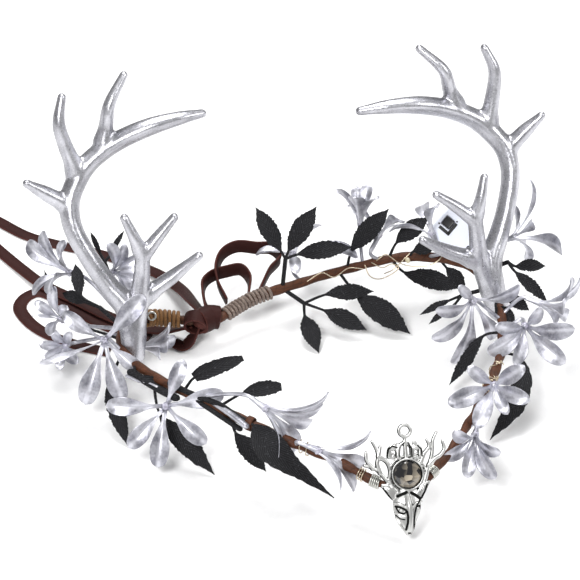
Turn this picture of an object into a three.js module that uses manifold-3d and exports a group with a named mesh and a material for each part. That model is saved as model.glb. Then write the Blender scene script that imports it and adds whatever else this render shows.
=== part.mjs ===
// Antler headband: a brown vine circlet with two silver antlers, silver flowers and black leaves,
// tied at the back with a leather ribbon, with a deer-head pendant in front and a small battery box.
// Millimetres, +Z up. The pendant is at the front (-Y) and the headband lies on the plane z = 0.
import * as THREE from "three";
import { mergeVertices } from "three/addons/utils/BufferGeometryUtils.js";
import Module from "manifold-3d";

const wasm = await Module();
wasm.setup();

// Driving dimensions

const GAP = 0.35; // clearance between neighbouring pieces
const WELD = 1e-4; // corners closer than this are one corner
const CROWN_SHIFT = new THREE.Vector3(-5.5, 0.8, 0); // from the circlet's middle to the part's origin

const VINE_RADIUS = 2.4;
const WRAP = { twine: { from: 0.006, to: 0.056, radius: 4 }, cord: { from: 0.958, to: 0.99, radius: 4.8 } };
const BINDING = { length: 0.008, radius: 3.4, left: 0.6, right: 0.546 };

const ANTLER = { lean: 28, tilt: 2 }; // degrees back and to the left
const PETAL = {
  widthShare: 0.36, halfDepth: 0.45, curl: 35, cup: 0.9, inset: 1, spread: 0.85, slim: 0.35,
  shares: [0.2, 0.4, 1, 0.4],
};
const CALYX = { radius: 2.7, behind: 9 };
const STEM_RADIUS = 0.9;
const LEAF = { halfDepth: 0.55, sag: 1.5, trough: 0.8, stemRadius: 0.9, shoulder: 0.35 };
const LEAF_FACE = new THREE.Vector3(-0.2, -0.6, 0.77);
const RIBBON = { width: 7, thickness: 1.2 };
const KNOT = { at: [-39, 54, 14], size: [8, 6.5, 6.5] };
const BOX = { at: [92.7, 57.5, 39.6], across: 24, high: 20, deep: 8, corner: 3, turn: -40 };
const BUTTON = { size: 5, recess: 5.8, depth: 1.8, travel: 0.8, proud: 0.6, x: -7, y: 2 };
const PENDANT = { at: [19, -102.1, 26.1], bezel: 7.6, seat: 6.6, rim: 1.6, back: -1.2, floor: -0.2 };
const STONE = { girdle: 6.2, table: 3.7, base: 0.15, crown: 1, top: 2.7, facets: 12 };
const VIEW_FACE = { aim: -105, lift: 36 }; // the way the pendant and the battery box look

// The vine's middle line, from its right end at the tie round by the back, the right and the front
const VINE_LINE = [
  { x: -32, y: 53, z: 14 }, { x: -13, y: 62, z: 16 }, { x: 12, y: 66, z: 18 }, { x: 40, y: 68, z: 21 },
  { x: 71, y: 66, z: 24 }, { x: 96, y: 51, z: 25 }, { x: 102, y: 28, z: 26 }, { x: 97, y: -5, z: 27 },
  { x: 84, y: -36, z: 27 }, { x: 59, y: -71, z: 25 }, { x: 40, y: -91, z: 22 }, { x: 21, y: -103, z: 19 },
  { x: 8, y: -99, z: 20 }, { x: -8, y: -85, z: 25 }, { x: -30, y: -68, z: 30 }, { x: -49, y: -49, z: 33 },
  { x: -66, y: -27, z: 33 }, { x: -79, y: -4, z: 30 }, { x: -87, y: 24, z: 25 }, { x: -81, y: 49, z: 20 },
  { x: -66, y: 61, z: 15 }, { x: -46, y: 56, z: 13 },
];

// One antler: its branches' middle lines (outward, up, forward) and radii, from the foot on the vine
const ANTLER_BRANCHES = [
  { part: "beam", steps: 12, line: [
    { out: 0, up: -5, fore: 2, r: 5.6 }, { out: -2, up: 8, fore: 2, r: 6.6 },
    { out: -1, up: 19, fore: 1, r: 6.2 }, { out: 6, up: 31, fore: -1, r: 5 },
    { out: 13, up: 46, fore: -2, r: 4.6 }, { out: 18, up: 62, fore: -4, r: 4.7 },
    { out: 17, up: 74, fore: -6, r: 5 }, { out: 11, up: 84, fore: -8, r: 5.1 },
    { out: 4, up: 91, fore: -8, r: 5 }, { out: -9, up: 98, fore: -6, r: 4.7 },
    { out: -25, up: 103, fore: -1, r: 4.4 }, { out: -42, up: 105, fore: 0, r: 3.2 },
    { out: -54, up: 105, fore: -3, r: 1.8 } ] },
  { part: "outer tine", steps: 2, line: [
    { out: 15, up: 70, fore: -6, r: 3.9 }, { out: 28, up: 80, fore: -4, r: 3.6 },
    { out: 37, up: 87, fore: 0, r: 1.7 } ] },
  { part: "second tine", steps: 4, line: [
    { out: 10, up: 84, fore: -8, r: 4.4 }, { out: 15, up: 102, fore: -4, r: 3.5 },
    { out: 16.5, up: 113, fore: -1, r: 2.9 }, { out: 13, up: 125, fore: -1, r: 1.7 } ] },
  { part: "third tine", steps: 4, line: [
    { out: -3, up: 96, fore: -7, r: 4.4 }, { out: -6.5, up: 107, fore: -5, r: 3.5 },
    { out: -9, up: 117, fore: -1, r: 2.8 }, { out: -19, up: 130, fore: -4, r: 1.7 } ] },
  { part: "brow stem", steps: 3, line: [
    { out: -3, up: 8, fore: 2, r: 5.4 }, { out: -7, up: 23, fore: 6, r: 4.6 },
    { out: -9, up: 36, fore: 14, r: 3.8 }, { out: -10, up: 46, fore: 19, r: 3.5 } ] },
  { part: "brow tine outer", steps: 2, line: [
    { out: -10, up: 44, fore: 18, r: 3.4 }, { out: -7, up: 54, fore: 22, r: 2.7 },
    { out: -3.5, up: 65, fore: 23, r: 1.7 } ] },
  { part: "brow tine inner", steps: 2, line: [
    { out: -10, up: 44, fore: 18, r: 3.4 }, { out: -18, up: 52, fore: 20, r: 2.8 },
    { out: -28, up: 60.5, fore: 20, r: 1.7 } ] },
  { part: "brow tine low", steps: 2, line: [
    { out: -7, up: 22, fore: 5, r: 3.9 }, { out: -23, up: 30, fore: 9, r: 3.4 },
    { out: -37.5, up: 39.5, fore: 17, r: 1.7 } ] },
];
const ANTLERS = [
  { name: "antler_left", side: -1, foot: [-82, 30, 24] },
  { name: "antler_right", side: 1, foot: [102, 19, 24] },
];

// Flowers: throat, the way they face, how far the petals open, where the stem leaves the vine,
// and each petal's turn round the throat (degrees) with its reach
const FLOWERS = [
  { name: "flower_01", at: [-96, 24, 34], aim: -108, lift: 28, flare: 75, along: 0.877,
    turns: [50, 145, -160, -105, -70, -35], reach: [31, 24, 33, 32, 30, 23], slim: [2] },
  { name: "flower_02", at: [-77, -25, 27], aim: -108, lift: 32, flare: 75, along: 0.794,
    turns: [70, 15, -40, -95, -130, 180], reach: [24, 29, 26, 29, 26, 28] },
  { name: "flower_03", at: [-101, 80, 36], aim: -170, lift: 35, flare: 45, along: 0.937,
    turns: [180, 148, 70, -20, -80], reach: [27, 25, 25, 25, 22] },
  { name: "flower_04", at: [-109, 64, 20], aim: -145, lift: 45, flare: 35, along: 0.926,
    turns: [100, 170, -150, -40, 30], reach: [21, 17, 16, 22, 20], slim: [2] },
  { name: "flower_05", at: [-84, 64, 44], aim: -60, lift: 40, flare: 35, along: 0.934,
    turns: [115, 5, -45, -88, -130, 60], reach: [25, 17, 17, 21, 25, 18] },
  { name: "flower_06", at: [-77, 41, 14], aim: -25, lift: 5, flare: 35, along: 0.92,
    turns: [95, -15, 135, 170, 40], reach: [23, 21, 24, 18, 20] },
  { name: "flower_07", at: [-110, 51, 14], aim: -120, lift: 30, flare: 35, along: 0.915,
    turns: [180, -130, -80, -25, 60, 120], reach: [16, 17, 17, 20, 15, 15] },
  { name: "flower_08", at: [-38.5, -59.5, 45], aim: -45, lift: -20, flare: 45, along: 0.775,
    turns: [35, 2, -28, -70, -115], reach: [31, 30, 29, 31, 29] },
  { name: "flower_09", at: [-19.3, -81.3, 32.7], aim: -35, lift: -10, flare: 35, along: 0.672,
    turns: [50, -36, -150, -85], reach: [27, 27, 23, 28] },
  { name: "flower_10", at: [83, 2, 40], aim: -80, lift: 2, flare: 75, along: 0.337,
    turns: [170, -155, -115, -65, 125, 10], reach: [23, 28, 33, 25, 16, 24] },
  { name: "flower_11", at: [106, -12, 30], aim: -100, lift: 18, flare: 45, along: 0.352,
    turns: [160, 65, 10, -40, -115, -165], reach: [24, 19, 29, 29, 22, 30] },
  { name: "flower_12", at: [76, -56, 32], aim: -115, lift: 32, flare: 45, along: 0.439,
    turns: [145, 40, -12, -55, -105, -155], reach: [20, 25, 25, 19, 27, 29] },
  { name: "flower_13", at: [59, -80, 25], aim: -115, lift: 5, flare: 35, along: 0.49,
    turns: [120, -160, -95, -40, 10], reach: [25, 22, 22, 26, 22] },
  { name: "flower_14", at: [115, 36, 48], aim: 10, lift: 5, flare: 65, along: 0.273,
    turns: [170, 125, -75, 85, 5], reach: [31, 17, 25, 32, 24], slim: [3] },
  { name: "flower_15", at: [117, -2, 34], aim: -40, lift: -5, flare: 55, along: 0.329,
    turns: [90, 130, -45, 172, 25], reach: [25, 29, 21, 26, 24] },
  { name: "flower_16", at: [48, 77, 40], aim: 80, lift: 85, flare: 28, along: 0.145,
    turns: [-80, -120, 70, 125, -5], reach: [20, 22, 28, 25, 24] },
  { name: "flower_17", at: [56, 73, 34], aim: 40, lift: 45, flare: 65, along: 0.162,
    turns: [135, -80, 20], reach: [25, 25, 22] },
  { name: "flower_18", at: [13, 79, 26], aim: 90, lift: 85, flare: 85, along: 0.087,
    turns: [-15, -130, 155, 80], reach: [18, 30, 33, 19] },
  { name: "flower_19", at: [81, 59, 40], aim: 120, lift: 50, flare: 55, along: 0.205,
    turns: [-135, 75, -30], reach: [26, 25, 22] },
];

// Black sprigs: where the stem leaves the vine, the fork of a sprig of several, and each leaf's
// base, tip, width and, where it bends, the point that its middle passes
const SPRIGS = [
  { name: "sprig_back", along: 0.068, fork: [6, 67, 34], leaves: [
    { base: [4, 69, 38], tip: [-5, 84, 56], width: 10 },
    { base: [8, 68, 38], tip: [24, 74, 58], width: 11 },
    { base: [13, 69, 34], tip: [38, 57, 42], width: 10 } ] },
  { name: "leaf_back_left", along: 0.13,
    leaves: [{ base: [41, 68, 32], tip: [61, 71, 52], width: 11 }] },
  { name: "leaf_back_middle", along: 0.169,
    leaves: [{ base: [64, 66, 34], tip: [81, 67, 46], width: 10 }] },
  { name: "leaf_back_right", along: 0.188,
    leaves: [{ base: [72, 62, 30], tip: [83, 58, 34], width: 8 }] },
  { name: "sprig_inner", along: 0.068, fork: [13, 57, 12], leaves: [
    { base: [24, 56, 16], tip: [49, 55, 14], width: 9 },
    { base: [22, 51, 10], tip: [40, 36, 5], width: 10 },
    { base: [12, 52, 8], tip: [13, 29, 1], width: 10 } ] },
  { name: "leaf_inner_large", along: 0.122,
    leaves: [{ base: [40, 55, 14], tip: [61, 30, 3], width: 13 }] },
  { name: "leaf_inner_right", along: 0.171,
    leaves: [{ base: [68, 64, 16], tip: [98, 63, 1], width: 11 }] },
  { name: "leaf_inner_small", along: 0.215,
    leaves: [{ base: [89, 60, 18], tip: [98, 55, 6], width: 8 }] },
  { name: "leaf_front_upper", along: 0.787,
    leaves: [{ base: [-62, -20, 37], tip: [-38, -20, 44], width: 8 }] },
  { name: "leaf_front_short", along: 0.75,
    leaves: [{ base: [-43, -41, 40], tip: [-26, -46, 44], width: 8 }] },
  { name: "leaf_front_narrow", along: 0.736,
    leaves: [{ base: [-50, -52, 26], tip: [-38, -62, 8], width: 10 }] },
  { name: "leaf_front_large", along: 0.716, leaves: [
    { base: [-43, -60, 35], via: [-38, -74, 31], tip: [-10, -81, 1], width: 15, shoulder: 0.25 } ] },
  { name: "leaf_front_left", along: 0.826,
    leaves: [{ base: [-79, -20, 18], tip: [-60, -50, 1], width: 11 }] },
  { name: "leaf_front_far_left", along: 0.88,
    leaves: [{ base: [-97, 14, 14], tip: [-95, -18, 1], width: 9 }] },
  { name: "leaf_front_flat", along: 0.855,
    leaves: [{ base: [-86, -3, 30], tip: [-73, -14, 27], width: 6 }] },
  { name: "leaf_left_spike", along: 0.904,
    leaves: [{ base: [-111, 64, 24], tip: [-113, 89, 34], width: 4 }] },
  { name: "sprig_left", along: 0.926, fork: [-91, 60, 27], leaves: [
    { base: [-99, 65, 32], tip: [-98, 84, 38], width: 7 },
    { base: [-97, 66, 27], tip: [-107, 74, 29], width: 7 } ] },
  { name: "twig_left", along: 0.932, fork: [-85, 74, 44], leaves: [
    { base: [-86, 78, 46], tip: [-89, 87, 54], width: 3 },
    { base: [-81, 77, 46], tip: [-73, 81, 56], width: 3 } ] },
  { name: "sprig_right", along: 0.259, fork: [111, 30, 38], leaves: [
    { base: [112, 21, 38], tip: [125, 8, 26], width: 7 },
    { base: [114, 27, 37], tip: [130, 27, 34], width: 7 } ] },
  { name: "sprig_right_low", along: 0.306, fork: [101, 14, 30], leaves: [
    { base: [98, 8, 28], tip: [105, -2, 24], width: 8 },
    { base: [105, 12, 30], tip: [114, 4, 26], width: 7 } ] },
  { name: "leaf_right_inner", along: 0.354,
    leaves: [{ base: [86, -10, 26], tip: [66, -19, 6], width: 7 }] },
  { name: "leaf_right_long", along: 0.382, leaves: [
    { base: [99, -28, 22], via: [92, -46, 13], tip: [74, -59, 1], width: 11 } ] },
  { name: "sprig_right_spikes", along: 0.285, fork: [86, 26, 25], leaves: [
    { base: [80, 25, 24], tip: [63, 22, 20], width: 4 },
    { base: [81, 22, 23], tip: [66, 16, 18], width: 4 } ] },
];

// Leather ribbon strips: middle line and lean (0 lies flat, 90 stands on edge)
const RIBBONS = [
  { name: "ribbon_loop_left", steps: 18, line: [
    { x: -66, y: 63, z: 0.7, lean: 0 }, { x: -85, y: 79, z: 0.7, lean: 0 },
    { x: -102, y: 105, z: 0.7, lean: 0 },
    { x: -112, y: 116, z: 0.7, lean: 0 }, { x: -119, y: 114, z: 0.7, lean: 0 },
    { x: -124, y: 106, z: 0.7, lean: 0 },
    { x: -122, y: 93, z: 0.7, lean: 0 }, { x: -115, y: 80, z: 0.7, lean: 0 },
    { x: -101, y: 66, z: 0.7, lean: 0 },
    { x: -88, y: 57, z: 0.7, lean: 0 } ] },
  { name: "ribbon_tail_short", steps: 14, line: [
    { x: -44, y: 56, z: 9, lean: 30 }, { x: -57, y: 63, z: 4, lean: 10 },
    { x: -66, y: 69, z: 2.5, lean: 0 },
    { x: -81, y: 83, z: 2.4, lean: 0 }, { x: -96, y: 103, z: 2.4, lean: 0 },
    { x: -109, y: 120, z: 2.4, lean: 0 },
    { x: -117, y: 138, z: 1.4, lean: 0 }, { x: -125, y: 158, z: 0.8, lean: 0 },
    { x: -130, y: 171, z: 0.8, lean: 0 } ] },
  { name: "ribbon_tail_long", steps: 16, line: [
    { x: -39, y: 58, z: 14, lean: 40 }, { x: -41, y: 72, z: 12, lean: 20 },
    { x: -43, y: 94, z: 6, lean: 0 },
    { x: -50, y: 115, z: 2, lean: 0 }, { x: -60, y: 128, z: 0.8, lean: 0 },
    { x: -78, y: 144, z: 0.8, lean: 0 },
    { x: -91, y: 153, z: 0.8, lean: 0 }, { x: -108, y: 167, z: 0.8, lean: 0 },
    { x: -120, y: 184, z: 0.8, lean: 0 },
    { x: -126, y: 193, z: 0.8, lean: 0 } ] },
  { name: "ribbon_bow", steps: 18, line: [
    { x: -25, y: 66, z: 14, lean: 80 }, { x: -27, y: 76, z: 19, lean: 80 },
    { x: -26, y: 82, z: 24, lean: 80 },
    { x: -21, y: 89, z: 27, lean: 80 }, { x: -13, y: 92, z: 28, lean: 80 },
    { x: -3, y: 91, z: 26, lean: 80 },
    { x: 5, y: 91, z: 24, lean: 80 }, { x: 8, y: 86, z: 21, lean: 80 },
    { x: 1, y: 80, z: 18, lean: 80 },
    { x: -7, y: 70, z: 13, lean: 80 } ] },
  { name: "ribbon_bow_inner", steps: 14, line: [
    { x: -36, y: 60, z: 15, lean: 60 }, { x: -36, y: 70, z: 17, lean: 80 },
    { x: -34, y: 77, z: 19, lean: 80 },
    { x: -29, y: 81, z: 20, lean: 80 }, { x: -21, y: 83, z: 20, lean: 80 },
    { x: -13, y: 84, z: 19, lean: 80 },
    { x: -10, y: 79, z: 16, lean: 80 }, { x: -13, y: 69, z: 13, lean: 80 } ] },
];
const FLAP_LINE = [
  { x: -41, y: 55, z: 11, lean: 30 }, { x: -46, y: 53, z: 5, lean: 10 }, { x: -51, y: 51, z: 1.5, lean: 0 },
  { x: -55, y: 56, z: 1.5, lean: 0 },
];

// The pendant in its own plane: antler branches, scrolls and head, right, up and out of its face
const CHARM_BRANCHES = [
  [[-4.4, -9, 0], [-9.2, -3.6, 0], [-12.8, 0.6, 0], [-15.6, 2.6, 0], [-19.9, 3.9, 0]],
  [[-12.8, 0.6, 0], [-14, 4.6, 0], [-13.6, 8.2, 0], [-14.4, 11.4, 0], [-16.4, 15, 0]],
  [[-13.6, 8.2, 0], [-13, 10.2, 0], [-12.6, 12.8, 0]],
  [[-13.5, 8, 0], [-9.9, 5.8, 0], [-8.4, 2.6, 0], [-8.4, -1, 0], [-9, -3.4, 0]],
  [[-16.2, 2.6, 0], [-18.9, 6.4, 0], [-19.1, 10, 0]],
  [[4.4, -9, 0], [7.8, -3, 0], [9.4, 3.4, 0], [10.8, 7.8, 0], [11.4, 11.4, 0], [11.5, 15.4, 0],
    [13.2, 19.4, 0]],
  [[6, 5.6, 0], [7.6, 9.6, 0], [9.9, 13, 0], [8.8, 15.8, 0]],
  [[9.6, 4.2, 0], [12.4, 7.2, 0], [14.8, 8.8, 0], [16.8, 11.8, 0], [15.9, 15.4, 0]],
];
const CHARM_SCROLLS = [
  [[-8.7, 8.2, 0], [-8.2, 11.6, 0], [-5.4, 11.4, 0], [-4.6, 8.4, 0], [-3, 6.5, 0]],
  [[5.6, 9, 0], [5.4, 12.2, 0], [2.8, 12.2, 0], [2, 8.4, 0], [1, 6.5, 0]],
  [[-4.6, 8.4, 0], [-3.8, 13, 0], [-1.6, 15, 0], [-1.4, 17.4, 0]],
  [[2, 8.4, 0], [1.2, 13, 0], [-1.2, 15, 0], [-1.4, 17.4, 0]],
  [[-0.8, 6.8, 0], [-1, 10.6, 0], [-1.3, 15.4, 0]],
];
const CHARM_WIRE_RADIUS = 1;
const BAIL = { at: [-1.4, 20, 0], ring: 2.7, wire: 0.85 };
const HEAD_LINE = [
  { x: -0.2, y: -7, out: 0.2, halfWidth: 4.2, halfDepth: 1.6 },
  { x: -0.3, y: -12, out: 1, halfWidth: 6.2, halfDepth: 2.6 },
  { x: -0.4, y: -16.5, out: 1.4, halfWidth: 6.2, halfDepth: 3 },
  { x: -0.5, y: -21, out: 1.6, halfWidth: 4.6, halfDepth: 2.8 },
  { x: 0.4, y: -25, out: 1.7, halfWidth: 2.7, halfDepth: 2.3 },
  { x: 0.6, y: -27.8, out: 1.5, halfWidth: 1.3, halfDepth: 1.2 },
];
const EARS = [
  { base: [-5.8, -11, 0.4], tip: [-11.8, -5.2, 0.4], width: 4 },
  { base: [5.8, -10.6, 0.4], tip: [9.8, -3.6, 0.4], width: 3.8 },
];

// Materials

function finish(color, roughness, metalness) {
  return new THREE.MeshStandardMaterial({ color, roughness, metalness });
}

const MATERIALS = {
  bark: finish("#6b3f26", 0.7, 0),
  silverPaint: finish("#c6c6ca", 0.35, 0.6),
  pearl: finish("#c2c2cc", 0.4, 0.4),
  blackLeaf: finish("#262628", 0.8, 0),
  twine: finish("#8c7466", 0.9, 0),
  cord: finish("#9c6f3c", 0.7, 0),
  leather: finish("#4b2a26", 0.6, 0),
  antiqueSilver: finish("#c9c9c0", 0.3, 1),
  stone: finish("#5c5a58", 0.05, 0),
  wire: finish("#d9d9d4", 0.3, 1),
  whitePlastic: finish("#e6ebfa", 0.4, 0),
  blackPlastic: finish("#1b1b1d", 0.5, 0),
};

// Solids

function vector([x, y, z]) {
  return new THREE.Vector3(x, y, z);
}

function smoothLine(points) {
  return new THREE.CatmullRomCurve3(points, false, "centripetal");
}

// A value read from a table of evenly spaced stations at the share t
function stationValue(values, t) {
  const place = t * (values.length - 1);
  const low = Math.min(Math.floor(place), values.length - 2);
  return THREE.MathUtils.lerp(values[low], values[low + 1], place - low);
}

function solidOf(geometry) {
  geometry.deleteAttribute("normal");
  geometry.deleteAttribute("uv");
  const welded = mergeVertices(geometry, WELD);
  const vertProperties = Float32Array.from(welded.getAttribute("position").array);
  const triVerts = Uint32Array.from(welded.getIndex().array);
  return new wasm.Manifold(new wasm.Mesh({ numProp: 3, vertProperties, triVerts }));
}

function geometryOf(solid) {
  const mesh = solid.getMesh();
  const geometry = new THREE.BufferGeometry();
  geometry.setAttribute("position", new THREE.BufferAttribute(Float32Array.from(mesh.vertProperties), 3));
  geometry.setIndex(new THREE.BufferAttribute(Uint32Array.from(mesh.triVerts), 1));
  geometry.computeVertexNormals();
  return geometry;
}

function joined(solids) {
  return solids.reduce((whole, solid) => whole.add(solid));
}

// A closed bar along a curve. At the share t, section gives its half width, half depth and how far its
// edges rise, and facing gives the way its flat side looks. even says that t counts the curve's points.
function sweep(curve, { bar, section, facing, even = false }) {
  const spot = bar.getAttribute("position");
  const moved = new THREE.Vector3();
  for (let i = 0; i < spot.count; i += 1) {
    const t = THREE.MathUtils.clamp(spot.getY(i) + 0.5, 0, 1);
    const middle = even ? curve.getPoint(t) : curve.getPointAt(t);
    const along = even ? curve.getTangent(t) : curve.getTangentAt(t);
    const side = along.clone().cross(facing(t)).normalize();
    const normal = side.clone().cross(along).normalize();
    const { halfWidth, halfDepth, rise = 0 } = section(t);
    const across = spot.getX(i);
    moved.copy(middle).addScaledVector(side, across * halfWidth);
    moved.addScaledVector(normal, spot.getZ(i) * halfDepth + rise * Math.abs(across));
    spot.setXYZ(i, moved.x, moved.y, moved.z);
  }
  return solidOf(bar);
}

const roundBar = (sides, steps) => new THREE.CylinderGeometry(1, 1, 1, sides, steps);
const bladeBar = (steps) => roundBar(3, steps).scale(1 / Math.sin(Math.PI / 3), 1, 1);
const flatBar = (steps) => new THREE.BoxGeometry(2, 1, 2, 1, steps, 1);

function tube(curve, radius, { sides, steps, facing = new THREE.Vector3(0.1, 0.2, 1), even = false }) {
  const size = typeof radius === "function" ? radius : () => radius;
  const section = (t) => ({ halfWidth: size(t), halfDepth: size(t) });
  return sweep(curve, { bar: roundBar(sides, steps), section, facing: () => facing, even });
}

// The three directions of something that looks along aim (in plan) and lift (above level)
function lookingFrame({ aim, lift }) {
  const a = THREE.MathUtils.degToRad(aim);
  const l = THREE.MathUtils.degToRad(lift);
  const ahead = new THREE.Vector3(Math.cos(a) * Math.cos(l), Math.sin(a) * Math.cos(l), Math.sin(l));
  const side = new THREE.Vector3(-Math.sin(a), Math.cos(a), 0);
  const top = ahead.clone().cross(side);
  return { ahead, side, top };
}

// The vine and what is wound round it

const vineCurve = smoothLine(VINE_LINE.map(({ x, y, z }) => new THREE.Vector3(x, y, z)));
const VINE_BAR = { sides: 6, steps: 52 };

function vine(grow) {
  return tube(vineCurve, VINE_RADIUS + grow, VINE_BAR);
}

function vineStretch(from, to, radius, steps) {
  const spot = (i) => vineCurve.getPointAt(from + ((to - from) * i) / steps);
  const points = Array.from({ length: steps + 1 }, (_, i) => spot(i));
  return tube(smoothLine(points), radius, { sides: 8, steps });
}

function wrap({ from, to, radius }, grow) {
  return vineStretch(from, to, radius + grow, 3);
}

function binding(middle, grow) {
  return vineStretch(middle - BINDING.length / 2, middle + BINDING.length / 2, BINDING.radius + grow, 1);
}

// Antlers

function antler({ side, foot }, grow) {
  const place = new THREE.Matrix4().makeRotationX(-THREE.MathUtils.degToRad(ANTLER.lean));
  place.multiply(new THREE.Matrix4().makeRotationY(-THREE.MathUtils.degToRad(ANTLER.tilt)));
  place.setPosition(vector(foot));
  const facing = new THREE.Vector3(0, -1, 0).transformDirection(place);
  const branches = ANTLER_BRANCHES.map(({ line, steps }) => {
    const spots = line.map(({ out, up, fore }) => new THREE.Vector3(side * out, -fore, up));
    const points = spots.map((spot) => spot.applyMatrix4(place));
    const radii = line.map(({ r }) => r);
    const radius = (t) => stationValue(radii, t) + grow;
    return tube(smoothLine(points), radius, { sides: 6, steps, facing, even: true });
  });
  return joined(branches);
}

// Flowers

// The angle from one petal to its nearest neighbour
function petalRoom(turns, index) {
  const apart = (turn) => {
    const angle = Math.abs(turn - turns[index]) % 360;
    return Math.min(angle, 360 - angle);
  };
  return Math.min(...turns.filter((_, i) => i !== index).map(apart));
}

function petal(row, index, grow) {
  const { ahead, side, top } = lookingFrame(row);
  const reach = row.reach[index];
  const angle = THREE.MathUtils.degToRad(row.turns[index]);
  const outward = side.clone().multiplyScalar(Math.cos(angle)).addScaledVector(top, Math.sin(angle));
  const curl = THREE.MathUtils.degToRad(Math.min(PETAL.curl, row.flare - 5));
  const opening = (t) => THREE.MathUtils.degToRad(row.flare) + curl * (2 * t - 1);
  const stations = 6;
  const stride = (reach * curl) / Math.sin(curl) / stations;
  const throat = vector(row.at);
  const points = [throat.clone().addScaledVector(outward, PETAL.inset)];
  for (let i = 0; i < stations; i += 1) {
    const heading = opening((i + 0.5) / stations);
    const next = points[i].clone().addScaledVector(ahead, stride * Math.cos(heading));
    points.push(next.addScaledVector(outward, stride * Math.sin(heading)));
  }
  const curve = smoothLine(points);
  const slimness = row.slim?.includes(index) ? PETAL.slim : 1;
  const halfWidths = PETAL.shares.map((share) => share * slimness * 0.5 * PETAL.widthShare * reach);
  const wedge = Math.tan(THREE.MathUtils.degToRad(Math.min(petalRoom(row.turns, index), 90) / 2));
  const section = (t) => {
    const fromAxis = curve.getPointAt(t).sub(throat).dot(outward);
    const halfWidth = Math.min(stationValue(halfWidths, t), PETAL.spread * wedge * fromAxis) + grow;
    return { halfWidth, halfDepth: PETAL.halfDepth + grow, rise: -PETAL.cup * Math.sin(Math.PI * t) };
  };
  const facing = (t) => {
    const heading = opening(t);
    return ahead.clone().multiplyScalar(-Math.sin(heading)).addScaledVector(outward, Math.cos(heading));
  };
  return sweep(curve, { bar: bladeBar(3), section, facing });
}

function flower(row, grow) {
  const { ahead } = lookingFrame(row);
  const throat = vector(row.at);
  const calyx = solidOf(new THREE.OctahedronGeometry(CALYX.radius + grow).translate(...row.at));
  const root = vineCurve.getPointAt(row.along);
  const heel = throat.clone().addScaledVector(ahead, -CALYX.behind);
  const upright = new THREE.Vector3(0.3, 0.5, 0.8);
  const stemBar = { sides: 3, steps: 3, facing: upright };
  const stem = tube(smoothLine([root, heel, throat]), STEM_RADIUS + grow, stemBar);
  const petals = row.turns.map((_, index) => petal(row, index, grow));
  return joined([calyx, stem, ...petals]);
}

// Leaves

// A leaf with its stem: from the stem's start to the base, over the middle and down to the tip
function leaf(start, { base, via, tip, width, shoulder = LEAF.shoulder }, grow) {
  const halfway = vector(base).lerp(vector(tip), 0.5).addScaledVector(LEAF_FACE, LEAF.sag);
  const middle = via ? vector(via) : halfway;
  const line = smoothLine([start, vector(base), middle, vector(tip)]);
  const stem = LEAF.stemRadius;
  const halfWidths = [stem, stem, 0.1 * width, 0.4 * width, 0.5 * width, shoulder * width, 0.06 * width];
  const halfDepths = halfWidths.map((_, i) => (i < 2 ? stem : LEAF.halfDepth));
  const rises = [0, 0, 0, LEAF.trough, LEAF.trough, LEAF.trough, 0];
  const section = (t) => ({
    halfWidth: stationValue(halfWidths, t) + grow,
    halfDepth: stationValue(halfDepths, t) + grow,
    rise: -stationValue(rises, t),
  });
  const under = LEAF_FACE.clone().negate();
  const bar = bladeBar(halfWidths.length - 1);
  return sweep(line, { bar, section, facing: () => under, even: true });
}

function sprig({ along, fork, leaves }, grow) {
  const root = vineCurve.getPointAt(along);
  const start = fork ? vector(fork) : root;
  const facing = new THREE.Vector3(0.4, 0.3, 0.85);
  const stemBar = { sides: 3, steps: 1, facing };
  const trunkRadius = LEAF.stemRadius + 0.2 + grow;
  const trunk = fork ? [tube(new THREE.LineCurve3(root, start), trunkRadius, stemBar)] : [];
  return joined([...trunk, ...leaves.map((row) => leaf(start, row, grow))]);
}

// The leather tie

function strip(line, steps, grow) {
  const points = line.map(({ x, y, z }) => new THREE.Vector3(x, y, z));
  const leans = line.map(({ lean }) => lean);
  const curve = smoothLine(points);
  const level = new THREE.Vector3(0, 0, 1);
  const facing = (t) => {
    const lean = THREE.MathUtils.degToRad(stationValue(leans, t));
    const beside = curve.getTangent(t).cross(level).normalize();
    return level.clone().multiplyScalar(Math.cos(lean)).addScaledVector(beside, Math.sin(lean));
  };
  const section = () => ({ halfWidth: RIBBON.width / 2 + grow, halfDepth: RIBBON.thickness / 2 + grow });
  return sweep(curve, { bar: flatBar(steps), section, facing, even: true });
}

function knot(grow) {
  const [long, deep, high] = KNOT.size.map((size) => size + grow);
  const lump = new THREE.SphereGeometry(1, 10, 6).scale(long, deep, high).translate(...KNOT.at);
  return joined([solidOf(lump), strip(FLAP_LINE, 6, grow)]);
}

// The pendant

function facePlace(at, turn = 0) {
  const { ahead, side, top } = lookingFrame(VIEW_FACE);
  const place = new THREE.Matrix4().makeBasis(side, top, ahead).setPosition(vector(at));
  return place.multiply(new THREE.Matrix4().makeRotationZ(THREE.MathUtils.degToRad(turn)));
}

function charmWires(lines, grow) {
  return lines.map((line) => {
    const radius = (t) => CHARM_WIRE_RADIUS * (1.15 - 0.5 * t) + grow;
    const bar = { sides: 3, steps: line.length - 1, facing: new THREE.Vector3(0, 0, 1) };
    return tube(smoothLine(line.map(vector)), radius, bar);
  });
}

function deerEar({ base, tip, width }, grow) {
  const halfWidths = [0.25, 0.5, 0.4, 0.1].map((share) => share * width + grow);
  const section = (t) => ({ halfWidth: stationValue(halfWidths, t), halfDepth: LEAF.halfDepth + grow });
  const inward = new THREE.Vector3(0, 0, -1);
  const line = new THREE.LineCurve3(vector(base), vector(tip));
  return sweep(line, { bar: bladeBar(3), section, facing: () => inward });
}

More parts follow.
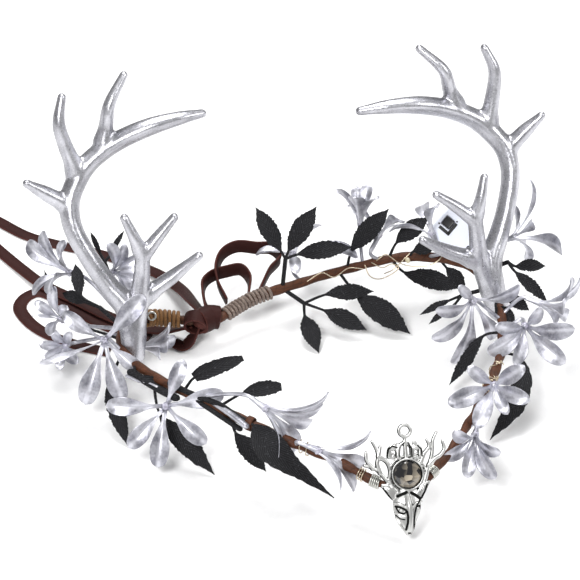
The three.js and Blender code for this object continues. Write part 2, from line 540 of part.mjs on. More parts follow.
function deerHead(grow) {
  const curve = smoothLine(HEAD_LINE.map(({ x, y, out }) => new THREE.Vector3(x, y, out)));
  const halfWidths = HEAD_LINE.map(({ halfWidth }) => halfWidth + grow);
  const halfDepths = HEAD_LINE.map(({ halfDepth }) => halfDepth + grow);
  const section = (t) => ({
    halfWidth: stationValue(halfWidths, t),
    halfDepth: stationValue(halfDepths, t),
  });
  const out = new THREE.Vector3(0, 0, 1);
  const head = sweep(curve, { bar: roundBar(8, 8), section, facing: () => out, even: true });
  return [head, ...EARS.map((ear) => deerEar(ear, grow))];
}

function bezelCup(grow) {
  const { bezel, seat, rim, back, floor } = PENDANT;
  const outline = [
    [0, back - grow], [bezel + grow, back - grow], [bezel + grow, rim + grow],
    [seat, rim + grow], [seat, floor], [0, floor],
  ];
  const cup = new THREE.LatheGeometry(outline.map(([r, h]) => new THREE.Vector2(r, h)), 20);
  return solidOf(cup.rotateX(Math.PI / 2));
}

function pendant(grow) {
  const bail = new THREE.TorusGeometry(BAIL.ring, BAIL.wire + grow, 5, 12).translate(...BAIL.at);
  const charm = joined([bezelCup(grow), solidOf(bail), ...charmWires(CHARM_BRANCHES, grow),
    ...charmWires(CHARM_SCROLLS, grow), ...deerHead(grow)]);
  return charm.transform(facePlace(PENDANT.at).elements);
}

function pendantStone(grow) {
  const { girdle, table, base, crown, top, facets } = STONE;
  const outline = [
    [0, base - grow], [girdle - 0.5 + grow, base - grow], [girdle + grow, crown],
    [table, top + grow], [0, top + grow],
  ];
  const cut = new THREE.LatheGeometry(outline.map(([r, h]) => new THREE.Vector2(r, h)), facets);
  return solidOf(cut.rotateX(Math.PI / 2)).transform(facePlace(PENDANT.at).elements);
}

// The battery box of the fairy lights

function block(width, height, low, high, x = 0, y = 0) {
  const shape = new THREE.BoxGeometry(width, height, high - low);
  return solidOf(shape.translate(x, y, (low + high) / 2));
}

function batteryBox(grow) {
  const { across, high, deep, corner, at, turn } = BOX;
  const w = across / 2 + grow;
  const h = high / 2 + grow;
  const outline = new THREE.Shape();
  outline.moveTo(-w + corner, -h).lineTo(w - corner, -h).quadraticCurveTo(w, -h, w, -h + corner);
  outline.lineTo(w, h - corner).quadraticCurveTo(w, h, w - corner, h).lineTo(-w + corner, h);
  outline.quadraticCurveTo(-w, h, -w, h - corner).lineTo(-w, -h + corner);
  outline.quadraticCurveTo(-w, -h, -w + corner, -h);
  const extrusion = { depth: deep + 2 * grow, bevelEnabled: false, curveSegments: 3 };
  const shell = new THREE.ExtrudeGeometry(outline, extrusion);
  const body = solidOf(shell.translate(0, 0, -deep - grow));
  const recess = block(BUTTON.recess, BUTTON.recess, -BUTTON.depth, 1, BUTTON.x, BUTTON.y);
  const whole = grow > 0 ? body : body.subtract(recess);
  return whole.transform(facePlace(at, turn).elements);
}

function batteryButton(grow) {
  const size = BUTTON.size + 2 * grow;
  const low = BUTTON.travel + GAP - BUTTON.depth;
  const cap = block(size, size, low - grow, BUTTON.proud + grow, BUTTON.x, BUTTON.y);
  return cap.transform(facePlace(BOX.at, BOX.turn).elements);
}

// The scene: each piece is trimmed to clear the pieces placed before it

const crown = new THREE.Group();
const placed = [];

function boxesMeet(a, b) {
  return [0, 1, 2].every((i) => a.min[i] < b.max[i] && b.min[i] < a.max[i]);
}

function place(name, material, make) {
  let body = make(0);
  for (const { clearance, bounds } of placed) {
    if (boxesMeet(body.boundingBox(), bounds)) body = body.subtract(clearance);
  }
  const [main] = body.decompose().sort((a, b) => b.volume() - a.volume());
  const clearance = make(GAP);
  placed.push({ clearance, bounds: clearance.boundingBox() });
  const mesh = new THREE.Mesh(geometryOf(main), material.clone());
  mesh.name = name;
  crown.add(mesh);
}

place("vine", MATERIALS.bark, vine);
for (const row of ANTLERS) place(row.name, MATERIALS.silverPaint, (grow) => antler(row, grow));
place("twine_wrap", MATERIALS.twine, (grow) => wrap(WRAP.twine, grow));
place("cord_wrap", MATERIALS.cord, (grow) => wrap(WRAP.cord, grow));
place("ribbon_knot", MATERIALS.leather, knot);
place("pendant", MATERIALS.antiqueSilver, pendant);
place("pendant_stone", MATERIALS.stone, pendantStone);
place("pendant_wire_left", MATERIALS.wire, (grow) => binding(BINDING.left, grow));
place("pendant_wire_right", MATERIALS.wire, (grow) => binding(BINDING.right, grow));
place("battery_box", MATERIALS.whitePlastic, batteryBox);
place("battery_button", MATERIALS.blackPlastic, batteryButton);
for (const row of RIBBONS) place(row.name, MATERIALS.leather, (grow) => strip(row.line, row.steps, grow));
for (const row of FLOWERS) place(row.name, MATERIALS.pearl, (grow) => flower(row, grow));
for (const row of SPRIGS) place(row.name, MATERIALS.blackLeaf, (grow) => sprig(row, grow));

crown.position.copy(CROWN_SHIFT);
export default crown;
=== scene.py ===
"""The looks of an antler headband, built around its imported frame."""

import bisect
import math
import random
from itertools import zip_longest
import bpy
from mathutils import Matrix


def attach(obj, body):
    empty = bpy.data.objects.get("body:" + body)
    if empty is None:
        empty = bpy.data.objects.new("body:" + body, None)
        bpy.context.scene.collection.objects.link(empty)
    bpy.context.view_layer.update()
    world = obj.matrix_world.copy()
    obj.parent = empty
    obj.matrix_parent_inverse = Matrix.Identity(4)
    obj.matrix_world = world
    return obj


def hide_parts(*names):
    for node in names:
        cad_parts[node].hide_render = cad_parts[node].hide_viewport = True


bl_info = {
    "name": "Antler headband",
    "version": (1, 0, 0),
    "blender": (4, 5, 0),
    "location": "3D View > Sidebar > Headband",
    "description": "Dresses the frame of an antler headband with its finished pieces",
    "category": "Object",
}

from types import SimpleNamespace as Named

import bmesh
import bpy
from mathutils import Matrix, Vector

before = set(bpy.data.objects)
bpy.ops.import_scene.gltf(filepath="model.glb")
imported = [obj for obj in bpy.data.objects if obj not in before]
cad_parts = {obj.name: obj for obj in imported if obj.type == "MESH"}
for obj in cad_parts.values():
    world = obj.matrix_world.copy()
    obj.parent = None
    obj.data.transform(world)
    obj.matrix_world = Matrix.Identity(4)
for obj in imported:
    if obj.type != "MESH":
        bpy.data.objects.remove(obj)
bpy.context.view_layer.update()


def table(columns, *rows):
    """The rows of a table, with their values named by its columns. What a short row lacks is None."""
    return [Named(**dict(zip_longest(columns.split(), row))) for row in rows]


def blade(base, tip, width, via=None, shares=(0.07, 0.4, 0.5, 0.35, 0.015)):
    """A leaf's blade: its ends, its width, a bend on its way and its half widths in shares of the width."""
    return Named(base=Vector(base), tip=Vector(tip), width=width, via=via, shares=shares)


# Sizes are in millimetres and angles in degrees, in the circlet's own frame, unless a comment says otherwise

MM = 0.001
FULL_TURN = 2 * math.pi
CROWN_SHIFT = Vector((-5.5, 0.8, 0.0))  # from the circlet's middle to the frame's origin
BODY = "crown"
BUTTON_BODY = "button"

CAMERA = Named(target=(-8, 6, 60), azimuth=-15, elevation=36, distance=1400, width=278.4, sensor=36)
VIEW_FACE = Named(aim=-105, lift=36)  # the way the pendant and the battery box look
WAVE_PERIOD = math.pi / 10  # a wave texture's band spacing at scale 1
DOME = (0.25, 0.7, 0.95)  # shares of the radius in a bar's rounded end

VINE = Named(lobe=0.3, shallow=0.12, twist_from=0.26, twist_to=0.7, sides=18, rings=420, stretch_steps=24)
VINE_LUMPS = table("height waves shift", (0.06, 37, 0), (0.04, 101, 1))
# An antler's painted side shade fades as a spot turns to the front (bright) and as it faces down (under)
ANTLER = Named(lean=28, tilt=2, sides=20, rings=7, keel=0.28, crest=6, hollow=0.14, voxel=0.65, ease=20,
               swell=1.06, flare_start=3, flare_from=4, flare_to=11, bright=0.8, under=1.6)
PETAL = Named(width_share=0.32, claw=0.22, claw_end=0.22, widest=0.7, end=0.08, curl=35, least_flare=5,
              inset=1, strides=32, recurve=1.6, recurve_from=0.8, cup=1.5, cup_half=3, groove=0.5,
              groove_half=1, groove_run=1.1, groove_wide=0.2, edge=0.3)
PETAL_ACROSS = [-1, -0.92, -0.7, -0.4, -0.15, 0, 0.15, 0.4, 0.7, 0.92, 1]
CALYX = Named(behind=9, foot=2, waist=0.6, past=1.5, narrow=0.9, mouth=1.8, bell=1.4, throat=1.4,
              cluster=1.6)
STAMEN = Named(density=1.1e6, spread=0.35, seed=7)
LEAF = Named(sag=1.5, trough=0.9, full_width=8, stem=0.8, stem_taper=0.3, stem_steps=12, fork_extra=0.3,
             rows=44, seed=11, fray=0.24, fray_half=3, fray_rise=4, rib=0.3, rib_wide=0.7, rib_fade=0.6)
LEAF_ACROSS = [-1, -0.85, -0.65, -0.4, -0.2, -0.07, 0, 0.07, 0.2, 0.4, 0.65, 0.85, 1]
LEAF_FACE = Vector((-0.2, -0.6, 0.77))
KNOT = Named(at=Vector((-39, 54, 14)), size=(8, 6.5, 6.5), core=0.8)
BOX = Named(at=(92.7, 57.5, 39.6), across=24, high=20, deep=8, corner=3, turn=-40, bevel=0.9, seam=0.2)
BUTTON = Named(size=5, recess=5.8, corner=0.7, depth=1.8, travel=0.8, proud=0.6, x=-7, y=2, gap=0.35)
# The button's outlines above its edge: how much narrower, the corner and how far below its top
BUTTON_RINGS = [(0, 0.6, 0.4), (0.5, 0.5, 0), (1.6, 0.4, 0.15)]
MARK_HEIGHTS = (-0.3, 0.12)
CORNER_STEPS = 8
PENDANT = Named(at=(19, -102.1, 26.1), bezel=7.6, seat=6.6, rim=1.6, back=-1.2, floor=-0.2,
                voxel=0.24, ease=1)
STONE = Named(girdle=6.2, chamfer=0.5, table=3.7, base=0.15, crown=1, shoulder=2.1, top=2.7, facets=12,
              cell=2.6, light_side=(0.71, -0.43, -0.32), light_gain=0.09)
CHARM_WIRE = Named(root=1.2, taper=0.45)
CURL = Named(steps=24, tighten=0.75, out=0.2, wire=0.5)
# How dark the cast charm gets: patina in hollows and creases, painted shade on its sides and on each wire's
# side turned from wire_bright
PATINA_AND_SHADE = Named(rounds=2, gain=3.4, head_side=0.62, wire_side=0.75, head_top=-8.5,
                wire_bright=(0.6, 0.1, 0.8), back=2, ink=1.6)
HEAD = Named(rows=40, sides=28)
EAR = Named(widths=(0.25, 0.5, 0.42, 0.08), steps=6, bend=Vector((0, 0.8, 0.6)),
            sideways=Vector((0.1, 1, 0)), rim=0.6, fill=0.55, flat=0.45, flat_beyond=0.7)
TAIL_NAMES = ("ribbon_tail_long", "ribbon_tail_short")
PATH_STEPS = 60
STRIP_STEPS = 12  # steps of a ribbon to each of its points

# The table and its lights, in metres and watts
STAGE = Named(floor=3.0, sky=0.32, aim=Vector((0.0, 0.0, 0.06)))
LIGHTS = table(
    "name at size watts",
    ("key_light", (-0.75, -0.8, 1.25), 0.6, 20),
    ("fill_light", (0.95, -0.3, 0.9), 0.5, 6),
    ("top_light", (0.1, 0.7, 1.3), 0.8, 16),
)

# The charm in its own plane: right, up and out of its face
CHARM_RINGS = table("at radius wire", ((-1.4, 20, 0), 2.7, 0.85), ((0, 0, 0.2), 8.5, 0.5))
CHARM_CURLS = table(
    "x y radius start turns",
    (-7.2, 8.6, 1.5, -40, -1.3),
    (-7.4, 12.2, 1.3, -60, 1.2),
    (-5.2, 13.6, 1.0, -90, -1.2),
    (4.4, 8.8, 1.5, 220, 1.3),
    (4.8, 12.4, 1.3, 240, -1.2),
    (3.0, 14.4, 1.0, 250, 1.2),
)
HEAD_BARS = table(
    "radii spots",
    ((1.2, 1.5, 1.3, 1.1, 0.9),
     [(-0.2, -9.5, 2.6), (0.6, -14, 4.3), (1.3, -19, 4.6), (1.3, -24, 3.8), (0.8, -27, 2.7)]),
    ((0.5, 0.75, 0.6), [(-6.4, -13.2, 2.6), (-3.8, -13.6, 3.9), (-0.8, -15.0, 4.5)]),
    ((0.5, 0.75, 0.6), [(6.2, -12.2, 2.4), (4.2, -13.2, 3.7), (2.4, -15.0, 4.5)]),
    ((0.4, 0.6, 0.4), [(-6.0, -17.8, 2.6), (-3.6, -19.2, 3.8), (-1.1, -19.6, 4.2)]),
    ((0.5, 0.8, 0.5), [(-5.6, -19.6, 2.2), (-3.4, -23.0, 3.0), (-0.8, -26.8, 2.6)]),
)
HEAD_EYES = [(-3.0, -16.4, 4.1), (4.7, -15.2, 3.4)]
EYE_RADII = (1.0, 0.8, 0.8)
# Lines on the charm's face, with their half widths: blackened creases and painted shadows, such as the
# shadow under the bezel
CHARM_CREASES_AND_SHADOWS = table(
    "half spots",
    (0.4, [(-5.7, -14.7), (-3.8, -14.9), (-1.6, -15.8), (-0.5, -16.9)]),
    (0.34, [(-5.2, -15.6), (-4.0, -17.4), (-1.9, -17.9), (-0.6, -17.0)]),
    (0.45, [(-0.4, -16.8), (0.1, -19.2), (0.0, -22.0), (-0.8, -25.2)]),
    (0.34, [(6.2, -10.8), (4.2, -13.9), (3.3, -17.2), (2.9, -21.0), (3.0, -25.0)]),
    (0.38, [(4.0, -14.6), (5.6, -14.3), (6.0, -15.8)]),
    (0.26, [(-5.6, -18.6), (-3.6, -20.2), (-1.4, -20.6)]),
    # painted shadow under the bezel
    (0.6, [(-4.6, -10.0), (-2.2, -8.9), (-0.6, -8.2)]),
    (0.6, [(1.6, -8.4), (3.8, -9.6), (5.6, -11.0)]),
    (0.38, [(-11.2, -6.6), (-9.4, -9.0), (-6.9, -12.4)]),
    (0.38, [(9.0, -4.6), (7.9, -7.6), (6.6, -10.4)]),
    (0.32, [(0.4, -26.8), (1.1, -26.8)]),
    (0.28, [(-9.3, 8.4), (-8.8, 11.4), (-7.0, 13.0), (-5.0, 12.2)]),
    (0.28, [(-3.6, 8.2), (-3.3, 12.0), (-1.7, 14.6)]),
    (0.28, [(2.0, 8.2), (1.7, 12.0), (0.2, 14.4)]),
    (0.28, [(6.7, 8.4), (6.3, 11.6), (4.6, 13.2)]),
)

# What is wound round the vine: shares of its length, turns, the coil's radius and how it strays
WRAPS = table(
    "node slot finish strand start stop turns coil wander",
    ("twine_wrap", "grey_twine", "twine", "twine_radius", 0.006, 0.056, 13, 3.1, 0.5),
    ("cord_wrap", "tan_cord", "cord", "cord_radius", 0.958, 0.99, 8, 3.5, 0.2),
    ("pendant_wire_left", "silver_wire", "wire", "binding_radius", 0.596, 0.604, 5, 2.8, 0.1),
    ("pendant_wire_right", "silver_wire", "wire", "binding_radius", 0.542, 0.55, 5, 2.8, 0.1),
)
LIGHT_WIRES = table(
    "start stop turns coil wander",
    (0.4, 0.46, 3, 3.0, 1.0),
    (0.66, 0.672, 2, 3.0, 0.3),
    (0.61, 0.616, 3, 2.9, 0.2),
)
TURN_POINTS = Named(wrap=26, light=40, least=80)  # points to a turn of a wound strand
LOOSE_WIRES = [
    [(47.4, 65.9, 23.0), (48.8, 62.2, 18.9), (52.6, 60.7, 17.1), (58.7, 60.8, 18.0), (64.2, 62.2, 21.1),
     (61.2, 63.9, 22.7), (56.0, 63.7, 21.5), (51.0, 66.0, 24.0)],
    [(52.0, 67.4, 22.4), (55.6, 66.7, 25.6), (58.7, 67.2, 26.8), (64.6, 63.4, 23.2), (69.8, 60.9, 21.9),
     (77.6, 58.0, 22.5), (83.3, 57.2, 25.1), (87.0, 59.0, 28.0)],
    [(57.0, 63.0, 18.0), (61.5, 61.7, 20.9), (68.0, 63.7, 25.4), (74.3, 64.7, 29.7), (78.4, 64.4, 31.6),
     (84.0, 62.0, 33.0)],
    [(16.0, 61.6, 22.0), (24.0, 62.6, 25.0), (30.0, 62.0, 21.6), (38.0, 63.6, 24.6), (46.0, 64.6, 22.0)],
]
LAMPS = [Vector((69.0, 62.5, 24.6)), Vector((64.4, -58.5, 27.9))]
KNOT_BANDS = table(
    "shift yaw pitch radii",
    ((0, 0, 0), 25, 90, (6.0, 5.6)),
    ((-5, -1, 0), 70, 70, (5.8, 5.4)),
    ((4, 1, 0), -10, 100, (5.4, 5.2)),
)
# Dark marks on the box's face: the two strips of the L beside the switch's recess are painted shadow, then
# two dots and a slot
BOX_SHADOW_AND_MARKS = table(
    "x y wide high corner",
    (-5.9, -2.3, 6.6, 1.7, 0.3),
    (-3.3, 0.6, 1.6, 7.4, 0.3),
    (-10.2, -1.2, 0.9, 0.9, 0.4),
    (-3.8, 5.2, 0.9, 0.9, 0.4),
    (8.6, -1.8, 1.0, 2.8, 0.4),
)
# Cut stalks that lie along the front of the vine: their radius and points
SILVER_STALKS = table(
    "radius spots",
    (1.6, [(-57.4, -38.7, 35.7), (-52.1, -48.7, 35.7), (-46.8, -59.8, 35.4)]),
    (0.9, [(-89.7, 3.5, 26.1), (-85.5, -4.2, 28.0), (-81.5, -10.8, 30.3), (-79.0, -15.0, 31.1)]),
)
BLACK_STALKS = table(
    "radius spots",
    (1.6, [(-60.5, -35.7, 35.8), (-55.7, -41.5, 36.3), (-50.7, -48.5, 35.2), (-45.2, -55.4, 34.0)]),
    (1.4, [(-63.6, -34.2, 34.1), (-59.4, -40.8, 33.5), (-54.5, -48.3, 32.6), (-48.8, -56.0, 31.1)]),
    (2.0, [(-87.5, 4.7, 27.1), (-83.9, -3.8, 28.6), (-80.6, -11.0, 29.6), (-76.5, -18.8, 30.5),
           (-72.4, -26.0, 31.5)]),
    (1.5, [(-73.2, -17.3, 34.0), (-69.7, -23.5, 34.7), (-65.4, -30.0, 35.5), (-61.5, -35.5, 35.9)]),
)
TRIM = table(
    "name slot finish stalks",
    ("cut_stalks", "silver_petal", "pearl", SILVER_STALKS),
    ("cut_leaf_stems", "black_leaf", "leaf", BLACK_STALKS),
)
STALK = Named(flat=0.8, flat_beyond=0.6)
BAND = Named(along=0.7165, step=0.004, shift=Vector((0, -0.4, 0.3)), radii=(2.9, 3.4), width=3.4,
             thickness=0.5)
EYELET = Named(at=(-65.3, 58.3, 18.1), radius=1.9, wire=0.55)

# The middle line of the vine: x, y, z
VINE_LINE = [
    (-32, 53, 14), (-13, 62, 16), (12, 66, 18), (40, 68, 21), (71, 66, 24), (96, 51, 25), (102, 28, 26),
    (97, -5, 27), (84, -36, 27), (59, -71, 25), (40, -91, 22), (21, -103, 19), (8, -99, 20),
    (-8, -85, 25), (-30, -68, 30), (-49, -49, 33), (-66, -27, 33), (-79, -4, 30), (-87, 24, 25),
    (-81, 49, 20), (-66, 61, 15), (-46, 56, 13),
]
# An antler's branches: out, up, fore and radius at each station of a line
ANTLER_BRANCHES = table(
    "part flare line",
    ("beam", 0, [
        (0, -5, 2, 5.6), (-2, 8, 2, 6.6), (-1, 19, 1, 6.2), (6, 31, -1, 5), (13, 46, -2, 4.6),
        (18, 62, -4, 4.7), (17, 74, -6, 5), (11, 84, -8, 5.1), (4, 91, -8, 5), (-9, 98, -6, 4.7),
        (-25, 103, -1, 4.4), (-42, 105, 0, 3.2), (-54, 105, -3, 1.8),
    ]),
    ("outer tine", 0.4, [
        (15, 70, -6, 3.9), (28, 80, -4, 3.6), (37, 87, 0, 1.7),
    ]),
    ("second tine", 0.4, [
        (10, 84, -8, 4.4), (15, 102, -4, 3.5), (16.5, 113, -1, 2.9), (13, 125, -1, 1.7),
    ]),
    ("third tine", 0.2, [
        (-3, 96, -7, 4.4), (-6.5, 107, -5, 3.5), (-9, 117, -1, 2.8), (-19, 130, -4, 1.7),
    ]),
    ("brow stem", 0, [
        (-3, 8, 2, 5.4), (-7, 23, 6, 4.6), (-9, 36, 14, 3.8), (-10, 46, 19, 3.5),
    ]),
    ("brow tine outer", 0.15, [
        (-10, 44, 18, 3.4), (-7, 54, 22, 2.7), (-3.5, 65, 23, 1.7),
    ]),
    ("brow tine inner", 0, [
        (-10, 44, 18, 3.4), (-18, 52, 20, 2.8), (-28, 60.5, 20, 1.7),
    ]),
    ("brow tine low", 0.35, [
        (-7, 22, 5, 3.9), (-23, 30, 9, 3.4), (-37.5, 39.5, 17, 1.7),
    ]),
)
ANTLERS = table(
    "name side foot",
    ("antler_left", -1, (-82, 30, 24)),
    ("antler_right", 1, (102, 19, 24)),
)
# The flowers: turns, reach and widths have one value for each petal
FLOWERS = table(
    "name at aim lift flare along turns reach widths",
    ("flower_01", (-96, 24, 34), -108, 28, 75, 0.877,
     [50, 145, -160, -105, -70, -35], [31, 24, 33, 32, 30, 23], [1, 1, 0.35, 1, 1, 1]),
    ("flower_02", (-77, -25, 27), -108, 32, 75, 0.794,
     [70, 15, -40, -95, -130, 180], [24, 29, 26, 29, 26, 28]),
    ("flower_03", (-101, 80, 36), -170, 35, 45, 0.937,
     [180, 148, 70, -20, -80], [27, 25, 25, 25, 22]),
    ("flower_04", (-109, 64, 20), -145, 45, 35, 0.926,
     [100, 170, -150, -40, 30], [21, 17, 16, 22, 20], [1, 1, 0.35, 1, 1]),
    ("flower_05", (-84, 64, 44), -60, 40, 35, 0.934,
     [115, 5, -45, -88, -130, 60], [25, 17, 17, 21, 25, 18]),
    ("flower_06", (-77, 41, 14), -25, 5, 35, 0.92,
     [95, -15, 135, 170, 40], [23, 21, 24, 18, 20]),
    ("flower_07", (-110, 51, 14), -120, 30, 35, 0.915,
     [180, -130, -80, -25, 60, 120], [16, 17, 17, 20, 15, 15]),
    ("flower_08", (-38.5, -59.5, 45), -45, -20, 45, 0.775,
     [35, 2, -28, -70, -115], [31, 30, 29, 31, 29], [0.8, 0.6, 0.7, 0.95, 1]),
    ("flower_09", (-19.3, -81.3, 32.7), -35, -10, 35, 0.672,
     [50, -36, -150, -85], [27, 27, 23, 28], [0.8, 0.85, 0.8, 0.9]),
    ("flower_10", (83, 2, 40), -80, 2, 75, 0.337,
     [170, -155, -115, -65, 125, 10], [23, 28, 33, 25, 16, 24]),
    ("flower_11", (106, -12, 30), -100, 18, 45, 0.352,
     [160, 65, 10, -40, -115, -165], [24, 19, 29, 29, 22, 30]),
    ("flower_12", (76, -56, 32), -115, 32, 45, 0.439,
     [145, 40, -12, -55, -105, -155], [20, 25, 25, 19, 27, 29]),
    ("flower_13", (59, -80, 25), -115, 5, 35, 0.49,
     [120, -160, -95, -40, 10], [25, 22, 22, 26, 22]),
    ("flower_14", (115, 36, 48), 10, 5, 65, 0.273,
     [170, 125, -75, 85, 5], [31, 17, 25, 32, 24], [1, 1, 1, 0.35, 1]),
    ("flower_15", (117, -2, 34), -40, -5, 55, 0.329,
     [90, 130, -45, 172, 25], [25, 29, 21, 26, 24]),
    ("flower_16", (48, 77, 40), 80, 85, 28, 0.145,
     [-80, -120, 70, 125, -5], [20, 22, 28, 25, 24]),
    ("flower_17", (56, 73, 34), 40, 45, 65, 0.162,
     [135, -80, 20], [25, 25, 22]),
    ("flower_18", (13, 79, 26), 90, 85, 85, 0.087,
     [-15, -130, 155, 80], [18, 30, 33, 19]),
    ("flower_19", (81, 59, 40), 120, 50, 55, 0.205,
     [-135, 75, -30], [26, 25, 22]),
)
# The leaves: where each leaves the vine, its blades and, on a sprig, where its stem forks
SPRIGS = table(
    "name along blades fork",
    ("sprig_back", 0.068, [
        blade((4, 69, 38), (-5, 84, 56), 10), blade((8, 68, 38), (24, 74, 58), 11),
        blade((13, 69, 34), (38, 57, 42), 10),
    ], (6, 67, 34)),
    ("leaf_back_left", 0.13, [blade((41, 68, 32), (61, 71, 52), 11)]),
    ("leaf_back_middle", 0.169, [blade((64, 66, 34), (81, 67, 46), 10)]),
    ("leaf_back_right", 0.188, [blade((72, 62, 30), (83, 58, 34), 8)]),
    ("sprig_inner", 0.068, [
        blade((24, 56, 16), (49, 55, 14), 9), blade((22, 51, 10), (40, 36, 5), 10),
        blade((12, 52, 8), (13, 29, 1), 10),
    ], (13, 57, 12)),
    ("leaf_inner_large", 0.122, [blade((40, 55, 14), (61, 30, 3), 13)]),
    ("leaf_inner_right", 0.171, [blade((68, 64, 16), (98, 63, 1), 11)]),
    ("leaf_inner_small", 0.215, [blade((89, 60, 18), (98, 55, 6), 8)]),
    ("leaf_front_upper", 0.787, [
        blade((-62, -20, 37), (-38, -20, 44), 8, shares=(0.3, 0.52, 0.5, 0.42, 0.2)),
    ]),
    ("leaf_front_short", 0.75, [
        blade((-43, -41, 40), (-26, -46, 44), 8, shares=(0.12, 0.4, 0.5, 0.46, 0.24)),
    ]),
    ("leaf_front_narrow", 0.736, [blade((-50, -52, 26), (-38, -62, 8), 10)]),
    ("leaf_front_large", 0.716, [
        blade((-43, -60, 35), (-10, -81, 1), 15, via=(-38, -74, 31), shares=(0.07, 0.4, 0.5, 0.25, 0.015)),
    ]),
    ("leaf_front_left", 0.826, [blade((-79, -20, 18), (-60, -50, 1), 11)]),
    ("leaf_front_far_left", 0.88, [blade((-97, 14, 14), (-95, -18, 1), 9)]),
    ("leaf_front_flat", 0.855, [blade((-86, -3, 30), (-73, -14, 27), 6)]),
    ("leaf_left_spike", 0.904, [blade((-111, 64, 24), (-113, 89, 34), 4)]),
    ("sprig_left", 0.926, [
        blade((-99, 65, 32), (-98, 84, 38), 7), blade((-97, 66, 27), (-107, 74, 29), 7),
    ], (-91, 60, 27)),
    ("twig_left", 0.932, [
        blade((-86, 78, 46), (-89, 87, 54), 3), blade((-81, 77, 46), (-73, 81, 56), 3),
    ], (-85, 74, 44)),
    ("sprig_right", 0.259, [
        blade((112, 21, 38), (125, 8, 26), 7), blade((114, 27, 37), (130, 27, 34), 7),
    ], (111, 30, 38)),
    ("sprig_right_low", 0.306, [
        blade((98, 8, 28), (105, -2, 24), 8), blade((105, 12, 30), (114, 4, 26), 7),
    ], (101, 14, 30)),
    ("leaf_right_inner", 0.354, [blade((86, -10, 26), (66, -19, 6), 7)]),
    ("leaf_right_long", 0.382, [blade((99, -28, 22), (74, -59, 1), 11, via=(92, -46, 13))]),
    ("sprig_right_spikes", 0.285, [
        blade((80, 25, 24), (63, 22, 20), 4), blade((81, 22, 23), (66, 16, 18), 4),
    ], (86, 26, 25)),
)
# The ribbon's runs: x, y, z and lean
RIBBONS = table(
    "name line",
    ("ribbon_loop_left", [
        (-66, 63, 0.7, 0), (-85, 79, 0.7, 0), (-102, 105, 0.7, 0), (-112, 116, 0.7, 0),
        (-119, 114, 0.7, 0), (-124, 106, 0.7, 0), (-122, 93, 0.7, 0), (-115, 80, 0.7, 0),
        (-101, 66, 0.7, 0), (-88, 57, 0.7, 0),
    ]),
    ("ribbon_tail_short", [
        (-44, 56, 9, 30), (-57, 63, 4, 10), (-66, 69, 2.5, 0), (-81, 83, 2.4, 0), (-96, 103, 2.4, 0),
        (-109, 120, 2.4, 0), (-117, 138, 1.4, 0), (-125, 158, 0.8, 0), (-130, 171, 0.8, 0),
    ]),
    ("ribbon_tail_long", [
        (-39, 58, 14, 40), (-41, 72, 12, 20), (-43, 94, 6, 0), (-50, 115, 2, 0), (-60, 128, 0.8, 0),
        (-78, 144, 0.8, 0), (-91, 153, 0.8, 0), (-108, 167, 0.8, 0), (-120, 184, 0.8, 0),
        (-126, 193, 0.8, 0),
    ]),
    ("ribbon_bow", [
        (-25, 66, 14, 80), (-27, 76, 19, 80), (-26, 82, 24, 80), (-21, 89, 27, 80), (-13, 92, 28, 80),
        (-3, 91, 26, 80), (5, 91, 24, 80), (8, 86, 21, 80), (1, 80, 18, 80), (-7, 70, 13, 80),
    ]),
    ("ribbon_bow_inner", [
        (-36, 60, 15, 60), (-36, 70, 17, 80), (-34, 77, 19, 80), (-29, 81, 20, 80), (-21, 83, 20, 80),
        (-13, 84, 19, 80), (-10, 79, 16, 80), (-13, 69, 13, 80),
    ]),
)
FLAP_LINE = [(-41, 55, 11, 30), (-46, 53, 5, 10), (-51, 51, 1.5, 0), (-55, 56, 1.5, 0)]
# The charm's wires in its own plane: right and up
CHARM_BRANCHES = [
    [(-4.4, -9), (-9.2, -3.6), (-12.8, 0.6), (-15.6, 2.6), (-19.9, 3.9)],
    [(-12.8, 0.6), (-14, 4.6), (-13.6, 8.2), (-14.4, 11.4), (-16.4, 15)],
    [(-13.6, 8.2), (-13, 10.2), (-12.6, 12.8)],
    [(-13.5, 8), (-9.9, 5.8), (-8.4, 2.6), (-8.4, -1), (-9, -3.4)],
    [(-16.2, 2.6), (-18.9, 6.4), (-19.1, 10)],
    [(4.4, -9), (7.8, -3), (9.4, 3.4), (10.8, 7.8), (11.4, 11.4), (11.5, 15.4), (13.2, 19.4)],
    [(6, 5.6), (7.6, 9.6), (9.9, 13), (8.8, 15.8)],
    [(9.6, 4.2), (12.4, 7.2), (14.8, 8.8), (16.8, 11.8), (15.9, 15.4)],
]
CHARM_SCROLLS = [
    [(-8.7, 8.2), (-8.2, 11.6), (-5.4, 11.4), (-4.6, 8.4), (-3, 6.5)],
    [(5.6, 9), (5.4, 12.2), (2.8, 12.2), (2, 8.4), (1, 6.5)],
    [(-4.6, 8.4), (-3.8, 13), (-1.6, 15), (-1.4, 17.4)],
    [(2, 8.4), (1.2, 13), (-1.2, 15), (-1.4, 17.4)],
    [(-0.8, 6.8), (-1, 10.6), (-1.3, 15.4)],
]
# The charm's head: right, up, out, half its width and half its depth at each station
HEAD_LINE = [
    (-0.2, -7, 0.2, 4.2, 1.6), (-0.3, -12, 1, 6.2, 2.6), (-0.4, -16.5, 1.4, 6.2, 3),
    (-0.5, -21, 1.6, 4.6, 2.8), (0.4, -25, 1.7, 2.7, 2.3), (0.6, -27.8, 1.5, 1.3, 1.2),
]
EARS = table(
    "base tip width",
    ((-5.8, -11, 0.4), (-11.8, -5.2, 0.4), 4),
    ((5.8, -10.6, 0.4), (9.8, -3.6, 0.4), 3.8),
)


# Curves and meshes


def around(count):
    """The angles of even steps round a circle."""
    return [FULL_TURN * i / count for i in range(count)]


def clamped(value):
    """A value held between 0 and 1."""
    return min(max(value, 0.0), 1.0)


